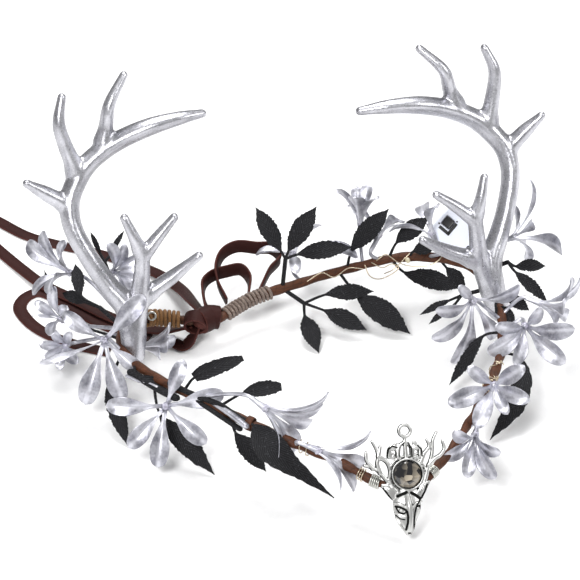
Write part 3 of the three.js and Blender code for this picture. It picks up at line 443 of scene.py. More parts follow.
def eased(share):
    """A share that leaves 0 and reaches 1 gently."""
    return share * share * (3 - 2 * share)


def between(start, stop, start_slope, stop_slope, f):
    """The value at the share f between two values, from their slopes."""
    rise = 3 * (stop - start) - 2 * start_slope - stop_slope
    bend = 2 * (start - stop) + start_slope + stop_slope
    return start + start_slope * f + rise * f * f + bend * f ** 3


def station_below(stations, t):
    """The number of the station below the share t, and the share from it to the next."""
    place = clamped(t) * (len(stations) - 1)
    low = min(int(place), len(stations) - 2)
    return low, place - low


def smooth_value(values, t):
    """A value read smoothly from evenly spaced stations at the share t."""
    low, f = station_below(values, t)
    b, c = values[low], values[low + 1]
    a = values[low - 1] if low > 0 else b
    d = values[low + 2] if low + 2 < len(values) else c
    return between(b, c, (c - a) / 2, (d - b) / 2, f)


class SmoothLine:
    """A centripetal Catmull-Rom curve through points, read by table station or by length."""

    SAMPLES = 24
    NEAR = 0.002  # share of the stations over which a direction is taken

    def __init__(self, points):
        self.points = [Vector(p) for p in points]
        count = (len(self.points) - 1) * self.SAMPLES
        self.shares = [i / count for i in range(count + 1)]
        spots = [self.even(t) for t in self.shares]
        self.lengths = [0.0]
        for a, b in zip(spots, spots[1:]):
            self.lengths.append(self.lengths[-1] + (b - a).length)
        self.length = self.lengths[-1]

    def even(self, t):
        """The point at the share t of the stations."""
        low, f = station_below(self.points, t)
        p1, p2 = self.points[low], self.points[low + 1]
        p0 = self.points[low - 1] if low > 0 else 2 * p1 - p2
        p3 = self.points[low + 2] if low + 2 < len(self.points) else 2 * p2 - p1
        d0, d1, d2 = (max((b - a).length ** 0.5, 1e-4) for a, b in ((p0, p1), (p1, p2), (p2, p3)))
        start = ((p1 - p0) / d0 - (p2 - p0) / (d0 + d1) + (p2 - p1) / d1) * d1
        stop = ((p2 - p1) / d1 - (p3 - p1) / (d1 + d2) + (p3 - p2) / d2) * d1
        return between(p1, p2, start, stop, f)

    def station(self, t):
        """The share of the stations at the share t of the length."""
        want = clamped(t) * self.length
        i = min(max(bisect.bisect_left(self.lengths, want), 1), len(self.lengths) - 1)
        low, high = self.lengths[i - 1], self.lengths[i]
        f = (want - low) / max(high - low, 1e-9)
        return self.shares[i - 1] + f * (self.shares[i] - self.shares[i - 1])

    def at(self, t):
        """The point at the share t of the length."""
        return self.even(self.station(t))

    def along(self, station):
        """The direction at a share of the stations."""
        return (self.even(station + self.NEAR) - self.even(station - self.NEAR)).normalized()

    def part(self, start, stop, count):
        """The points of even steps between two shares of the length."""
        return [self.at(start + (stop - start) * i / count) for i in range(count + 1)]


def looking_frame(aim, lift):
    """The ahead, side and top directions of something that looks along aim and lift, in degrees."""
    a, l = math.radians(aim), math.radians(lift)
    ahead = Vector((math.cos(a) * math.cos(l), math.sin(a) * math.cos(l), math.sin(l)))
    side = Vector((-math.sin(a), math.cos(a), 0.0))
    return ahead, side, ahead.cross(side)


def rotation(degrees, axis):
    """A turn about an axis."""
    return Matrix.Rotation(math.radians(degrees), 4, axis)


def face_place(at, turn=0):
    """Places a flat piece, drawn right, up and out, so that it looks at the viewer."""
    ahead, side, top = looking_frame(VIEW_FACE.aim, VIEW_FACE.lift)
    place = Matrix((side, top, ahead)).transposed().to_4x4()
    place.translation = Vector(at)
    return place @ rotation(turn, "Z")


def in_frame(spots):
    """Spots of the circlet, in metres in the frame."""
    return [(spot + CROWN_SHIFT) * MM for spot in spots]


def placed(name, data):
    """A new object in the scene."""
    piece = bpy.data.objects.new(name, data)
    bpy.context.scene.collection.objects.link(piece)
    return piece


def two_faced(across):
    """The way round a thin section: shares of its width with 1 on the face and -1 on the back."""
    return [(u, 1) for u in across] + [(u, -1) for u in reversed(across)]


class Sketch:
    """Points in the circlet's frame, faces and their places on the surface, all in mm."""

    def __init__(self):
        self.spots = []
        self.faces = []
        self.marks = []

    def loft(self, rings, mark=None, closed=False):
        """Joins looped rings of points with quads, and caps them unless the row of rings is closed."""
        mark = mark or (lambda i, j: (j, i))
        start, count, rows = len(self.spots), len(rings[0]), len(rings)
        for ring in rings:
            self.spots.extend(ring)
        for i in range(rows if closed else rows - 1):
            for j in range(count):
                corners = [(i, j), (i, j + 1), (i + 1, j + 1), (i + 1, j)]
                self.faces.append([start + a % rows * count + b % count for a, b in corners])
                self.marks.append([mark(a, b) for a, b in corners])
        if not closed:
            for i in (0, rows - 1):
                self.faces.append([start + i * count + j for j in range(count)])
                self.marks.append([mark(i, j) for j in range(count)])

    def tube(self, line, radius, sides=12, rings=24, facing=Vector((0.1, 0.2, 1)), shape=None, even=False,
             rooted=False):
        """A round bar with domed ends, or flat where it is rooted. radius and shape may be functions."""
        size = radius if callable(radius) else (lambda t: radius)
        shape = shape or (lambda angle, t: 1.0)
        loops, places = [], []
        steps = [] if rooted else [(0.0, share) for share in DOME]
        steps += [(i / rings, 1.0) for i in range(rings + 1)] + [(1.0, share) for share in DOME[::-1]]
        for t, share in steps:
            station = t if even else line.station(t)
            along = line.along(station)
            side = along.cross(facing).normalized()
            normal = side.cross(along).normalized()
            r = size(t)
            shift = math.sqrt(1 - share * share) * r * (-1 if t == 0.0 else 1)
            middle = line.even(station) + along * shift
            loops.append([middle + (side * math.cos(a) + normal * math.sin(a)) * (r * share * shape(a, t))
                          for a in around(sides)])
            places.append((t * line.length, FULL_TURN * r))
        self.loft(loops, lambda i, j: (places[i][1] * j / sides, places[i][0]))

    def ball(self, at, radii, sides=14, rows=9):
        """An egg with its three radii and a tiny flat at each pole."""
        loops = []
        for i in range(rows + 1):
            polar = math.pi * (0.02 + 0.96 * i / rows)
            reach = [math.sin(polar) * radius for radius in radii[:2]]
            height = math.cos(polar) * radii[2]
            loops.append([Vector(at) + Vector((reach[0] * math.cos(a), reach[1] * math.sin(a), height))
                          for a in around(sides)])
        self.loft(loops)

    def lathe(self, outline, sides):
        """A round piece about the local out direction from a closed outline of (radius, height)."""
        self.loft([[Vector((radius * math.cos(a), radius * math.sin(a), height)) for a in around(sides)]
                   for radius, height in outline])

    def strip(self, line, width, thickness, leans, steps):
        """A flat band with rounded edges. leans turns it from flat (0) to standing on edge (90)."""
        half, thick = width / 2, thickness / 2
        edge = 0.7 * thick
        face, corner = half - edge, 0.4 * edge
        section = [(-face, -thick), (0, -thick), (face, -thick), (half, -corner), (half, corner),
                   (face, thick), (0, thick), (-face, thick), (-half, corner), (-half, -corner)]
        level = Vector((0, 0, 1))
        loops = []
        for i in range(steps + 1):
            station = line.station(i / steps)
            along = line.along(station)
            lean = math.radians(smooth_value(leans, station))
            facing = level * math.cos(lean) + along.cross(level).normalized() * math.sin(lean)
            side = along.cross(facing).normalized()
            normal = side.cross(along).normalized()
            loops.append([line.even(station) + side * across + normal * out for across, out in section])
        self.loft(loops, lambda i, j: (section[j % len(section)][0], line.length * i / steps))

    def hoop(self, place, radii, width, thickness, steps=40):
        """A flat band closed round the local Z axis."""
        half, thick = width / 2, thickness / 2
        face, corner, swell = 0.9 * half, 0.2 * thick, 1.3 * thick
        section = [(-half, corner), (-face, thick), (0, swell), (face, thick), (half, corner),
                   (face, -thick), (0, -thick), (-face, -thick)]
        loops = []
        for a in around(steps):
            spot = Vector((radii[0] * math.cos(a), radii[1] * math.sin(a), 0))
            out = Vector((math.cos(a) / radii[0], math.sin(a) / radii[1], 0)).normalized()
            loops.append([place @ (spot + out * high + Vector((0, 0, across))) for across, high in section])
        girth = math.pi * (radii[0] + radii[1])
        self.loft(loops, lambda i, j: (section[j % len(section)][0], girth * i / steps), closed=True)

    def ring(self, place, radius, wire, steps=48, sides=10):
        """A round wire closed round the local Z axis."""
        loops = []
        for a in around(steps):
            out = Vector((math.cos(a), math.sin(a), 0))
            loops.append([place @ (out * (radius + wire * math.cos(b)) + Vector((0, 0, wire * math.sin(b))))
                          for b in around(sides)])
        self.loft(loops, closed=True)

    def moved(self, place):
        """The same sketch, moved by a matrix."""
        self.spots = [place @ spot for spot in self.spots]
        return self

    def build(self, name, key, sharp=None):
        """The sketch as a mesh object at the origin, in metres in the frame, in a finish."""
        mesh = bpy.data.meshes.new(name)
        mesh.from_pydata(in_frame(self.spots), [], self.faces)
        layer = mesh.uv_layers.new(name="Surface")
        layer.data.foreach_set("uv", [value for face in self.marks for mark in face for value in mark])
        shell = bmesh.new()
        shell.from_mesh(mesh)
        bmesh.ops.remove_doubles(shell, verts=shell.verts, dist=1e-6)
        bmesh.ops.recalc_face_normals(shell, faces=shell.faces)
        shell.to_mesh(mesh)
        shell.free()
        mesh.polygons.foreach_set("use_smooth", [True] * len(mesh.polygons))
        if sharp is not None:
            mesh.set_sharp_from_angle(angle=math.radians(sharp))
        mesh.materials.append(finish(key))
        return placed(name, mesh)


def with_modifiers_applied(piece):
    """The piece with a plain mesh in place of its modifiers' result."""
    graph = bpy.context.evaluated_depsgraph_get()
    mesh = bpy.data.meshes.new_from_object(piece.evaluated_get(graph))
    piece.modifiers.clear()
    old = piece.data
    piece.data = mesh
    bpy.data.meshes.remove(old)
    mesh.name = piece.name
    return piece


def fused(piece, voxel, rounds):
    """Melts a piece's overlapping bars into one skin and eases it."""
    remesh = piece.modifiers.new("Fuse", "REMESH")
    remesh.mode = "VOXEL"
    remesh.voxel_size = voxel * MM
    remesh.use_smooth_shade = True
    ease = piece.modifiers.new("Ease", "SMOOTH")
    ease.factor = 0.5
    ease.iterations = rounds
    return with_modifiers_applied(piece)


def dressed(piece, slot, *nodes, body=BODY):
    """Says what a finished piece rides on and hides the nodes that it stands for. Its slot is not used."""
    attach(piece, body)
    if nodes:
        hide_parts(*nodes)


vine_line = SmoothLine(VINE_LINE)


# Nodes and materials


def hex_colour(text):
    """An sRGB hex colour as linear red, green, blue and alpha."""
    channels = [int(text[i:i + 2], 16) / 255 for i in (1, 3, 5)]
    return tuple(c / 12.92 if c <= 0.04045 else ((c + 0.055) / 1.055) ** 2.4 for c in channels) + (1.0,)


def add_node(tree, kind, settings=None, inputs=None):
    """Adds a node, sets its properties and fills or links its inputs."""
    node = tree.nodes.new(kind)
    for name, value in (settings or {}).items():
        setattr(node, name, value)
    for name, value in (inputs or {}).items():
        socket = node.inputs[name]
        if isinstance(value, bpy.types.NodeSocket):
            tree.links.new(value, socket)
        else:
            socket.default_value = value
    return node


def output(tree, kind, name, inputs=None, settings=None):
    """One output of a new node."""
    return add_node(tree, kind, settings, inputs).outputs[name]


def computed(tree, operation, *values):
    """The result of a math node."""
    return output(tree, "ShaderNodeMath", "Value", dict(enumerate(values)), {"operation": operation})


def vector(tree, operation, *values, give="Vector", **scale):
    """The result of a vector math node."""
    inputs = {**dict(enumerate(values)), **scale}
    return output(tree, "ShaderNodeVectorMath", give, inputs, {"operation": operation})


class Coat:
    """A material being made: its shader and the patterns that feed it."""

    def __init__(self, name, inputs):
        self.material = bpy.data.materials.new(name)
        self.material.use_nodes = True
        self.tree = self.material.node_tree
        self.tree.nodes.clear()
        self.shader = add_node(self.tree, "ShaderNodeBsdfPrincipled", inputs=inputs)
        add_node(self.tree, "ShaderNodeOutputMaterial", inputs={"Surface": self.shader.outputs["BSDF"]})
        self.solid = output(self.tree, "ShaderNodeTexCoord", "Object")
        self.surface = output(self.tree, "ShaderNodeUVMap", "UV", settings={"uv_map": "Surface"})

    def mapped(self, **inputs):
        """The places on the surface, turned or stretched."""
        return output(self.tree, "ShaderNodeMapping", "Vector", {"Vector": self.surface, **inputs})

    def noise(self, size, detail=2.0, stretch=None, **more):
        """Clouds about this many mm across, through the solid or, stretched, over the surface."""
        inputs = {"Vector": self.solid, "Scale": 1 / (size * MM), "Detail": detail, **more}
        if stretch:
            inputs.update({"Vector": self.mapped(Scale=stretch), "Scale": 1 / size})
        return output(self.tree, "ShaderNodeTexNoise", "Fac", inputs)

    def bands(self, spacing, slant, distortion, waver, profile="SIN"):
        """Wavering bands this many mm apart, slanting over the surface."""
        turned = self.mapped(Rotation=(0.0, 0.0, math.radians(slant)))
        return output(self.tree, "ShaderNodeTexWave", "Fac", {
            "Vector": turned, "Scale": WAVE_PERIOD / spacing, "Distortion": distortion, "Detail": 2.0,
            "Detail Scale": waver}, {"wave_profile": profile})

    def written(self, name):
        """A value that was written on the piece's points."""
        return output(self.tree, "ShaderNodeAttribute", "Fac", settings={"attribute_name": name})

    def off_middle(self):
        """The distance from the middle line of a strip or petal, in mm."""
        across = output(self.tree, "ShaderNodeSeparateXYZ", "X", {"Vector": self.surface})
        return computed(self.tree, "ABSOLUTE", across)

    def ramp(self, value, low, high, start=0.0, stop=1.0):
        """A value from low to high turned into one from start to stop, and held there."""
        return output(self.tree, "ShaderNodeMapRange", "Result", {
            "Value": value, "From Min": low, "From Max": high, "To Min": start, "To Max": stop})

    def mix(self, share, first, second):
        """A colour between two colours."""
        inputs = {"Fac": share, "Color1": first, "Color2": second}
        return output(self.tree, "ShaderNodeMixRGB", "Color", inputs)

    def sum(self, pattern, gain, other):
        """A pattern times a gain, on top of another."""
        return computed(self.tree, "MULTIPLY_ADD", pattern, gain, other)

    def colour(self, pattern):
        """Gives the shader its colour."""
        self.tree.links.new(pattern, self.shader.inputs["Base Color"])

    def gloss(self, pattern, smooth, rough, low=0.3, high=0.7):
        """Lets a pattern turn the surface from smooth to rough."""
        self.tree.links.new(self.ramp(pattern, low, high, smooth, rough), self.shader.inputs["Roughness"])

    def bump(self, pattern, strength, height):
        """Lets a pattern stand out by a height in mm."""
        inputs = {"Strength": strength, "Distance": height * MM, "Height": pattern}
        normal = output(self.tree, "ShaderNodeBump", "Normal", inputs)
        self.tree.links.new(normal, self.shader.inputs["Normal"])


def satin_silver_paint(tones):
    # Silver paint over moulded foam: satin highlights, a sparkling grain, darker pools and painted shade on
    # the sides, which stands in for dark reflections
    coat = Coat("Satin silver paint", {"Metallic": 0.92})
    grain = coat.noise(0.75, 3.0, Roughness=0.65)
    pools = coat.ramp(coat.noise(12), 0.35, 0.6)
    shade = coat.mix(pools, tones.silver_shade, tones.silver)
    bright = coat.mix(coat.ramp(grain, 0.54, 0.68, 0.0, 0.5), shade, tones.silver_light)
    # painted shade on the antler's sides, standing in for dark reflections, broken up by the grain
    grain_in_shade = coat.ramp(grain, 0.3, 0.62, 1.0, 0.42)
    dark = computed(coat.tree, "MULTIPLY", grain_in_shade, coat.written("shade"))
    coat.colour(coat.mix(dark, bright, tones.silver_dark))
    coat.gloss(grain, 0.24, 0.42)
    coat.bump(grain, 0.35, 0.3)
    return coat.material


def pearl_petal(tones):
    # Moulded soft plastic sprayed with pearl silver: cool grey faces, pale patches laid at random, a pale
    # line along each petal's middle and a silky gloss
    coat = Coat("Pearl sprayed petal", {"Metallic": 0.75})
    fine = coat.noise(1.1, 3.0)
    mixed = coat.sum(fine, 0.35, coat.noise(7, 5.0))
    crease = coat.ramp(coat.off_middle(), 0.3, 1.6, 0.3, 0.0)
    paleness = coat.sum(mixed, 1.0, crease)
    coat.colour(coat.mix(coat.ramp(paleness, 0.5, 0.95), tones.petal_shade, tones.petal))
    coat.gloss(fine, 0.32, 0.48)
    coat.bump(fine, 0.25, 0.3)
    return coat.material


def black_leaf_cloth(tones):
    # Stiffened black cloth pressed with close veins: matt, faintly ribbed, dusted with silver specks
    coat = Coat("Black pressed leaf cloth", {"Roughness": 0.75, "Specular IOR Level": 0.2})
    veins = coat.bands(0.95, 24, 1.2, 0.6)
    ribbed = coat.mix(veins, tones.leaf_shade, tones.leaf)
    specks = coat.ramp(coat.noise(0.75), 0.62, 0.74, 0.0, 0.4)
    coat.colour(coat.mix(specks, ribbed, tones.leaf_dust))
    coat.bump(veins, 0.5, 0.25)
    return coat.material


def bark_paper(tones):
    # Brown paper tape wound slantwise over twisted wire: matt, streaked, with a shadow at each turn's edge
    coat = Coat("Brown bark paper", {"Specular IOR Level": 0.35})
    turns = coat.bands(4.2, 62, 2.5, 0.5, "SAW")
    fibre = coat.noise(1.0, 6.0, (1.4, 0.16, 1.0), Roughness=0.65)
    brown = coat.mix(coat.ramp(fibre, 0.32, 0.68), tones.bark_shade, tones.bark)
    # painted shadow along the edge of each turn of tape
    edges = coat.ramp(turns, 0.0, 0.16, 0.7, 0.0)
    coat.colour(coat.mix(edges, brown, tones.bark_shade))
    coat.gloss(fibre, 0.5, 0.75)
    coat.bump(coat.sum(turns, 1.0, fibre), 0.6, 0.4)
    return coat.material


def brown_lace_leather(tones):
    # Dyed split leather lace: dark faces with a soft nap, paler cut edges
    coat = Coat("Red-brown lace leather", {"Specular IOR Level": 0.15})
    nap = coat.noise(0.8, 5.0, Roughness=0.65)
    face = coat.mix(coat.noise(14, 3.0), tones.leather_shade, tones.leather)
    edge = coat.ramp(coat.off_middle(), 3.0, 3.4, 0.0, 0.75)
    coat.colour(coat.mix(edge, face, tones.leather_edge))
    coat.gloss(nap, 0.48, 0.68)
    coat.bump(nap, 0.4, 0.3)
    return coat.material


def spun_strand(name, dark, light, roughness):
    # Spun fibres: streaks of two tones along a dull, slightly hairy strand
    coat = Coat(name, {"Roughness": roughness, "Specular IOR Level": 0.3, "Sheen Weight": 0.15})
    fibre = coat.noise(0.6, 4.0, Distortion=1.5)
    coat.colour(coat.mix(coat.ramp(fibre, 0.35, 0.65), dark, light))
    coat.bump(fibre, 0.5, 0.2)
    return coat.material


def antique_cast_silver(tones):
    # Cast white metal, blackened and then polished: bright high places and black hollows, with painted shade
    # on its sides and on one side of each wire
    coat = Coat("Antique cast silver", {"Metallic": 0.8})
    pits = coat.noise(0.9, 4.0)
    black = coat.ramp(coat.sum(pits, 0.3, coat.written("patina_and_shade")), 0.38, 0.68)
    coat.colour(coat.mix(black, tones.cast_silver, tones.cast_black))
    coat.gloss(black, 0.32, 0.65, 0.0, 1.0)
    coat.bump(pits, 0.3, 0.2)
    return coat.material


def smoky_cut_glass(tones):
    # Foil-backed smoky glass: mirror-smooth facets with painted reflections in black, grey and cream by
    # turns, lighter towards the light's side
    coat = Coat("Smoky cut glass", {
        "Roughness": 0.03, "IOR": 1.54, "Coat Weight": 1.0, "Coat Roughness": 0.02})
    cells = output(coat.tree, "ShaderNodeTexVoronoi", "Color", {
        "Vector": coat.solid, "Scale": 1 / (STONE.cell * MM)})
    chance = output(coat.tree, "ShaderNodeSeparateXYZ", "X", {"Vector": cells})
    middle = in_frame([Vector(PENDANT.at)])[0]
    offset = vector(coat.tree, "SUBTRACT", coat.solid, middle)
    towards = vector(coat.tree, "DOT_PRODUCT", offset, STONE.light_side, give="Value")
    # painted light and reflections: each facet's tone by chance, lighter towards light_side
    lit = coat.sum(towards, STONE.light_gain / MM, chance)
    coat.colour(coat.mix(coat.ramp(lit, 0.45, 1.1), tones.stone_dark, tones.stone_light))
    return coat.material


def drawn_wire(name, colour):
    # Thin drawn wire, a little dulled by handling
    coat = Coat(name, {"Base Color": colour, "Metallic": 1.0})
    coat.gloss(coat.noise(3, 3.0), 0.2, 0.42)
    return coat.material


def moulded_plastic(name, colour, smooth, rough):
    # Injection-moulded plastic with a faint spark-eroded grain
    coat = Coat(name, {"Base Color": colour, "IOR": 1.5})
    grain = coat.noise(0.5)
    coat.gloss(grain, smooth, rough)
    coat.bump(grain, 0.1, 0.1)
    return coat.material


def lamp_resin(tones):
    # A drop of clear yellowish resin over a tiny lamp
    coat = Coat("Lamp resin", {
        "Roughness": 0.12, "IOR": 1.5, "Coat Weight": 0.5, "Transmission Weight": 0.35})
    coat.colour(coat.mix(coat.noise(2), tones.lamp, tones.lamp_core))
    return coat.material


def pale_floor(tones):
    # Seamless white paper
    coat = Coat("White paper", {"Roughness": 0.9, "Specular IOR Level": 0.1})
    coat.colour(coat.mix(coat.noise(2), tones.floor, tones.floor_light))
    return coat.material


# Geometry node trees

FLOAT = "NodeSocketFloat"
WHOLE = "NodeSocketInt"
STRAY_WAVES = 31.0  # how often a wound strand strays along its way
DROP_SHAPE = (1.0, 1.5, 1.0)


def start_tree(name, sockets):
    """A geometry node tree with named inputs, and the node that gives them."""
    tree = bpy.data.node_groups.new(name, "GeometryNodeTree")
    named = {"Geometry": "NodeSocketGeometry", **sockets, "Material": "NodeSocketMaterial"}
    for label, kind in named.items():
        tree.interface.new_socket(name=label, in_out="INPUT", socket_type=kind)
    tree.interface.new_socket(name="Geometry", in_out="OUTPUT", socket_type="NodeSocketGeometry")
    return tree, add_node(tree, "NodeGroupInput").outputs


def end_tree(tree, geometry, material):
    """Ends a tree with real geometry in its material."""
    smooth = output(tree, "GeometryNodeSetShadeSmooth", "Geometry", {"Geometry": geometry})
    real = output(tree, "GeometryNodeRealizeInstances", "Geometry", {"Geometry": smooth})
    painted = output(tree, "GeometryNodeSetMaterial", "Geometry", {"Geometry": real, "Material": material})
    add_node(tree, "NodeGroupOutput", inputs={"Geometry": painted})
    return tree


def wound_strand_tree():
    """A strand that winds round a path: spiral, then a round section swept along it."""
    tree, given = start_tree("Wound strand", {
        "Turns": FLOAT, "Coil Radius": FLOAT, "Strand Radius": FLOAT, "Wander": FLOAT, "Points": WHOLE,
        "Sides": WHOLE})
    path = output(tree, "GeometryNodeMeshToCurve", "Curve", {"Mesh": given["Geometry"]})
    fine = output(tree, "GeometryNodeResampleCurve", "Curve", {"Curve": path, "Count": given["Points"]})
    share = output(tree, "GeometryNodeSplineParameter", "Factor")
    drift = output(tree, "ShaderNodeTexNoise", "Fac", {"W": share, "Scale": STRAY_WAVES},
                   {"noise_dimensions": "1D"})
    stray = computed(tree, "MULTIPLY", drift, given["Wander"])
    turns = computed(tree, "MULTIPLY_ADD", share, given["Turns"], stray)
    angle = computed(tree, "MULTIPLY", turns, FULL_TURN)
    normal = output(tree, "GeometryNodeInputNormal", "Normal")
    tangent = output(tree, "GeometryNodeInputTangent", "Tangent")
    beside = vector(tree, "CROSS_PRODUCT", tangent, normal)
    up = vector(tree, "SCALE", normal, Scale=computed(tree, "COSINE", angle))
    out = vector(tree, "SCALE", beside, Scale=computed(tree, "SINE", angle))
    offset = vector(tree, "SCALE", vector(tree, "ADD", up, out), Scale=given["Coil Radius"])
    spiral = output(tree, "GeometryNodeSetPosition", "Geometry", {"Geometry": fine, "Offset": offset})
    section = output(tree, "GeometryNodeCurvePrimitiveCircle", "Curve", {
        "Resolution": given["Sides"], "Radius": given["Strand Radius"]})
    strand = output(tree, "GeometryNodeCurveToMesh", "Mesh", {
        "Curve": spiral, "Profile Curve": section, "Fill Caps": True})
    return end_tree(tree, strand, given["Material"])


def grains_tree():
    """Small round grains scattered over a surface, which stays under them."""
    tree, given = start_tree("Scattered grains", {
        "Density": FLOAT, "Grain Radius": FLOAT, "Spread": FLOAT, "Seed": WHOLE})
    spots = output(tree, "GeometryNodeDistributePointsOnFaces", "Points", {
        "Mesh": given["Geometry"], "Density": given["Density"], "Seed": given["Seed"]})
    grain = output(tree, "GeometryNodeMeshIcoSphere", "Mesh", {
        "Radius": given["Grain Radius"], "Subdivisions": 2})
    small = computed(tree, "SUBTRACT", 1.0, given["Spread"])
    large = computed(tree, "ADD", 1.0, given["Spread"])
    size = output(tree, "FunctionNodeRandomValue", 1, {2: small, 3: large, "Seed": given["Seed"]},
                  {"data_type": "FLOAT"})
    grains = output(tree, "GeometryNodeInstanceOnPoints", "Instances", {
        "Points": spots, "Instance": grain, "Scale": size})
    both = add_node(tree, "GeometryNodeJoinGeometry", inputs={"Geometry": grains})
    tree.links.new(given["Geometry"], both.inputs["Geometry"])
    return end_tree(tree, both.outputs["Geometry"], given["Material"])


def drops_tree():
    """A drop at every point of a mesh."""
    tree, given = start_tree("Drops", {"Drop Radius": FLOAT})
    drop = output(tree, "GeometryNodeMeshIcoSphere", "Mesh", {
        "Radius": given["Drop Radius"], "Subdivisions": 3})
    drops = output(tree, "GeometryNodeInstanceOnPoints", "Instances", {
        "Points": given["Geometry"], "Instance": drop, "Scale": DROP_SHAPE})
    return end_tree(tree, drops, given["Material"])


TREES = {"wound": wound_strand_tree, "grains": grains_tree, "drops": drops_tree}
grown_trees = {}


def grown(piece, kind, key, **values):
    """Runs a tree on a piece with its named inputs set, and keeps the result as a plain mesh."""
    if kind not in grown_trees:
        grown_trees[kind] = TREES[kind]()
    tree = grown_trees[kind]
    values["material"] = finish(key)
    modifier = piece.modifiers.new(tree.name, "NODES")
    modifier.node_group = tree
    for item in tree.interface.items_tree:
        label = item.name.lower().replace(" ", "_")
        if item.item_type == "SOCKET" and item.in_out == "INPUT" and label in values:
            modifier[item.identifier] = values[label]
    return with_modifiers_applied(piece)


def bare_mesh(name, spots, edges):
    """A mesh of loose points and edges, given in millimetres in the circlet's frame."""
    mesh = bpy.data.meshes.new(name)
    mesh.from_pydata(in_frame(spots), edges, [])
    return placed(name, mesh)


def wound(name, key, row, strand, turn_points):
    """A strand wound round a stretch of the vine."""
    stretch = SmoothLine(vine_line.part(row.start, row.stop, VINE.stretch_steps))
    path = stretch.part(0, 1, PATH_STEPS)
    piece = bare_mesh(name, path, [(i, i + 1) for i in range(PATH_STEPS)])
    points = max(row.turns * turn_points, TURN_POINTS.least)
    return grown(piece, "wound", key, turns=float(row.turns), coil_radius=row.coil * MM,
                 strand_radius=strand, wander=row.wander, points=points, sides=8)


# The pieces


def ribbon(row, sizes):
    """A strip of ribbon along its line."""
    line = SmoothLine([spot[:3] for spot in row.line])
    leans = [spot[3] for spot in row.line]
    sketch = Sketch()
    sketch.strip(line, sizes.ribbon_width / MM, sizes.ribbon_thickness / MM, leans, STRIP_STEPS * len(leans))
    piece = sketch.build(row.name + "_leather", "leather", sharp=50)
    dressed(piece, "brown_leather", row.name)
    return line, piece


def make_tails(sizes):
    """The two free ends of the ribbon, lying on the table."""
    for row in RIBBONS:
        if row.name in TAIL_NAMES:
            line, piece = ribbon(row, sizes)
            path = in_frame(line.part(0, 1, PATH_STEPS))


def make_vine(sizes):
    """Two paper-taped wires twisted together, drawn as one two-lobed bar."""
    radius = sizes.vine_radius / MM
    turns = vine_line.length / (sizes.vine_pitch / MM)

    def lobes(angle, t):
        depth = VINE.lobe if VINE.twist_from < t < VINE.twist_to else VINE.shallow
        return 1 - depth + depth * math.cos(angle - FULL_TURN * turns * t) ** 2

    def girth(t):
        return radius * (1 + sum(lump.height * math.sin(lump.waves * t + lump.shift) for lump in VINE_LUMPS))

    sketch = Sketch()
    sketch.tube(vine_line, girth, sides=VINE.sides, rings=VINE.rings, shape=lobes)
    dressed(sketch.build("vine_bark", "bark"), "brown_vine", "vine")


def make_antlers():
    """Each antler is its branches melted together, with a ridge along the front."""
    for row in ANTLERS:
        place = Matrix.Translation(row.foot) @ rotation(-ANTLER.lean, "X") @ rotation(-ANTLER.tilt, "Y")
        front = place.to_3x3() @ Vector((0, -1, 0))
        sketch = Sketch()
        for branch in ANTLER_BRANCHES:
            antler_branch(sketch, branch, row.side, place, front)
        piece = fused(sketch.build(row.name + "_paint", "silver"), ANTLER.voxel, ANTLER.ease)
        # painted shade on the antler's sides, for its material to read
        shade_sides(piece, front)
        dressed(piece, "silver_antler", row.name)


def antler_branch(sketch, branch, side, place, front):
    """One branch, rounder behind and ridged in front. A tine flares where it leaves its parent."""
    line = SmoothLine([place @ Vector((side * out, -fore, up)) for out, up, fore, _ in branch.line])
    radii = [spot[3] for spot in branch.line]

    def radius(t):
        bare = smooth_value(radii, t)
        return bare + ANTLER.swell / bare

    def flare(t):
        away = (line.even(t) - line.even(0)).length
        fall = clamped((ANTLER.flare_to - away) / (ANTLER.flare_to - ANTLER.flare_from))
        return branch.flare * eased(fall) * min(1, away / ANTLER.flare_start)

    def section(angle, t):
        crest = max(math.sin(angle), 0) ** ANTLER.crest
        hollow = max(-math.cos(2 * angle), 0) if math.sin(angle) > 0 else 0
        ridge = 1 + ANTLER.keel * crest - ANTLER.hollow * hollow * (1 - crest)
        return ridge * (1 + flare(t) * math.cos(angle) ** 2)

    sketch.tube(line, radius, sides=ANTLER.sides, rings=ANTLER.rings * (len(radii) - 1), facing=front,
                shape=section, even=True, rooted=branch.part != "beam")


def write_values(piece, name, values):
    """Writes a value on each point of a piece, for its material to read."""
    piece.data.attributes.new(name, "FLOAT", "POINT").data.foreach_set("value", values)


def shade_sides(piece, front):
    """Writes how far each spot of an antler turns to its sides, for the painted shade that stands in for
    dark reflections there.
    """
    values = []
    for vertex in piece.data.vertices:
        sideways = 1 - abs(vertex.normal.dot(front)) / ANTLER.bright
        underside = min(vertex.normal.z, 0)
        values.append(max(sideways, 0) * max(1 + ANTLER.under * underside, 0))
    write_values(piece, "shade", values)


def petal_width(t):
    """A petal's width from claw to end, as a share of its widest: a narrow claw, then a rounded spoon."""
    if t > PETAL.widest:
        return max(math.sqrt(1 - ((t - PETAL.widest) / (1 - PETAL.widest)) ** 2), PETAL.end)
    rise = max(t - PETAL.claw_end, 0) / (PETAL.widest - PETAL.claw_end)
    return PETAL.claw + (1 - PETAL.claw) * eased(rise)


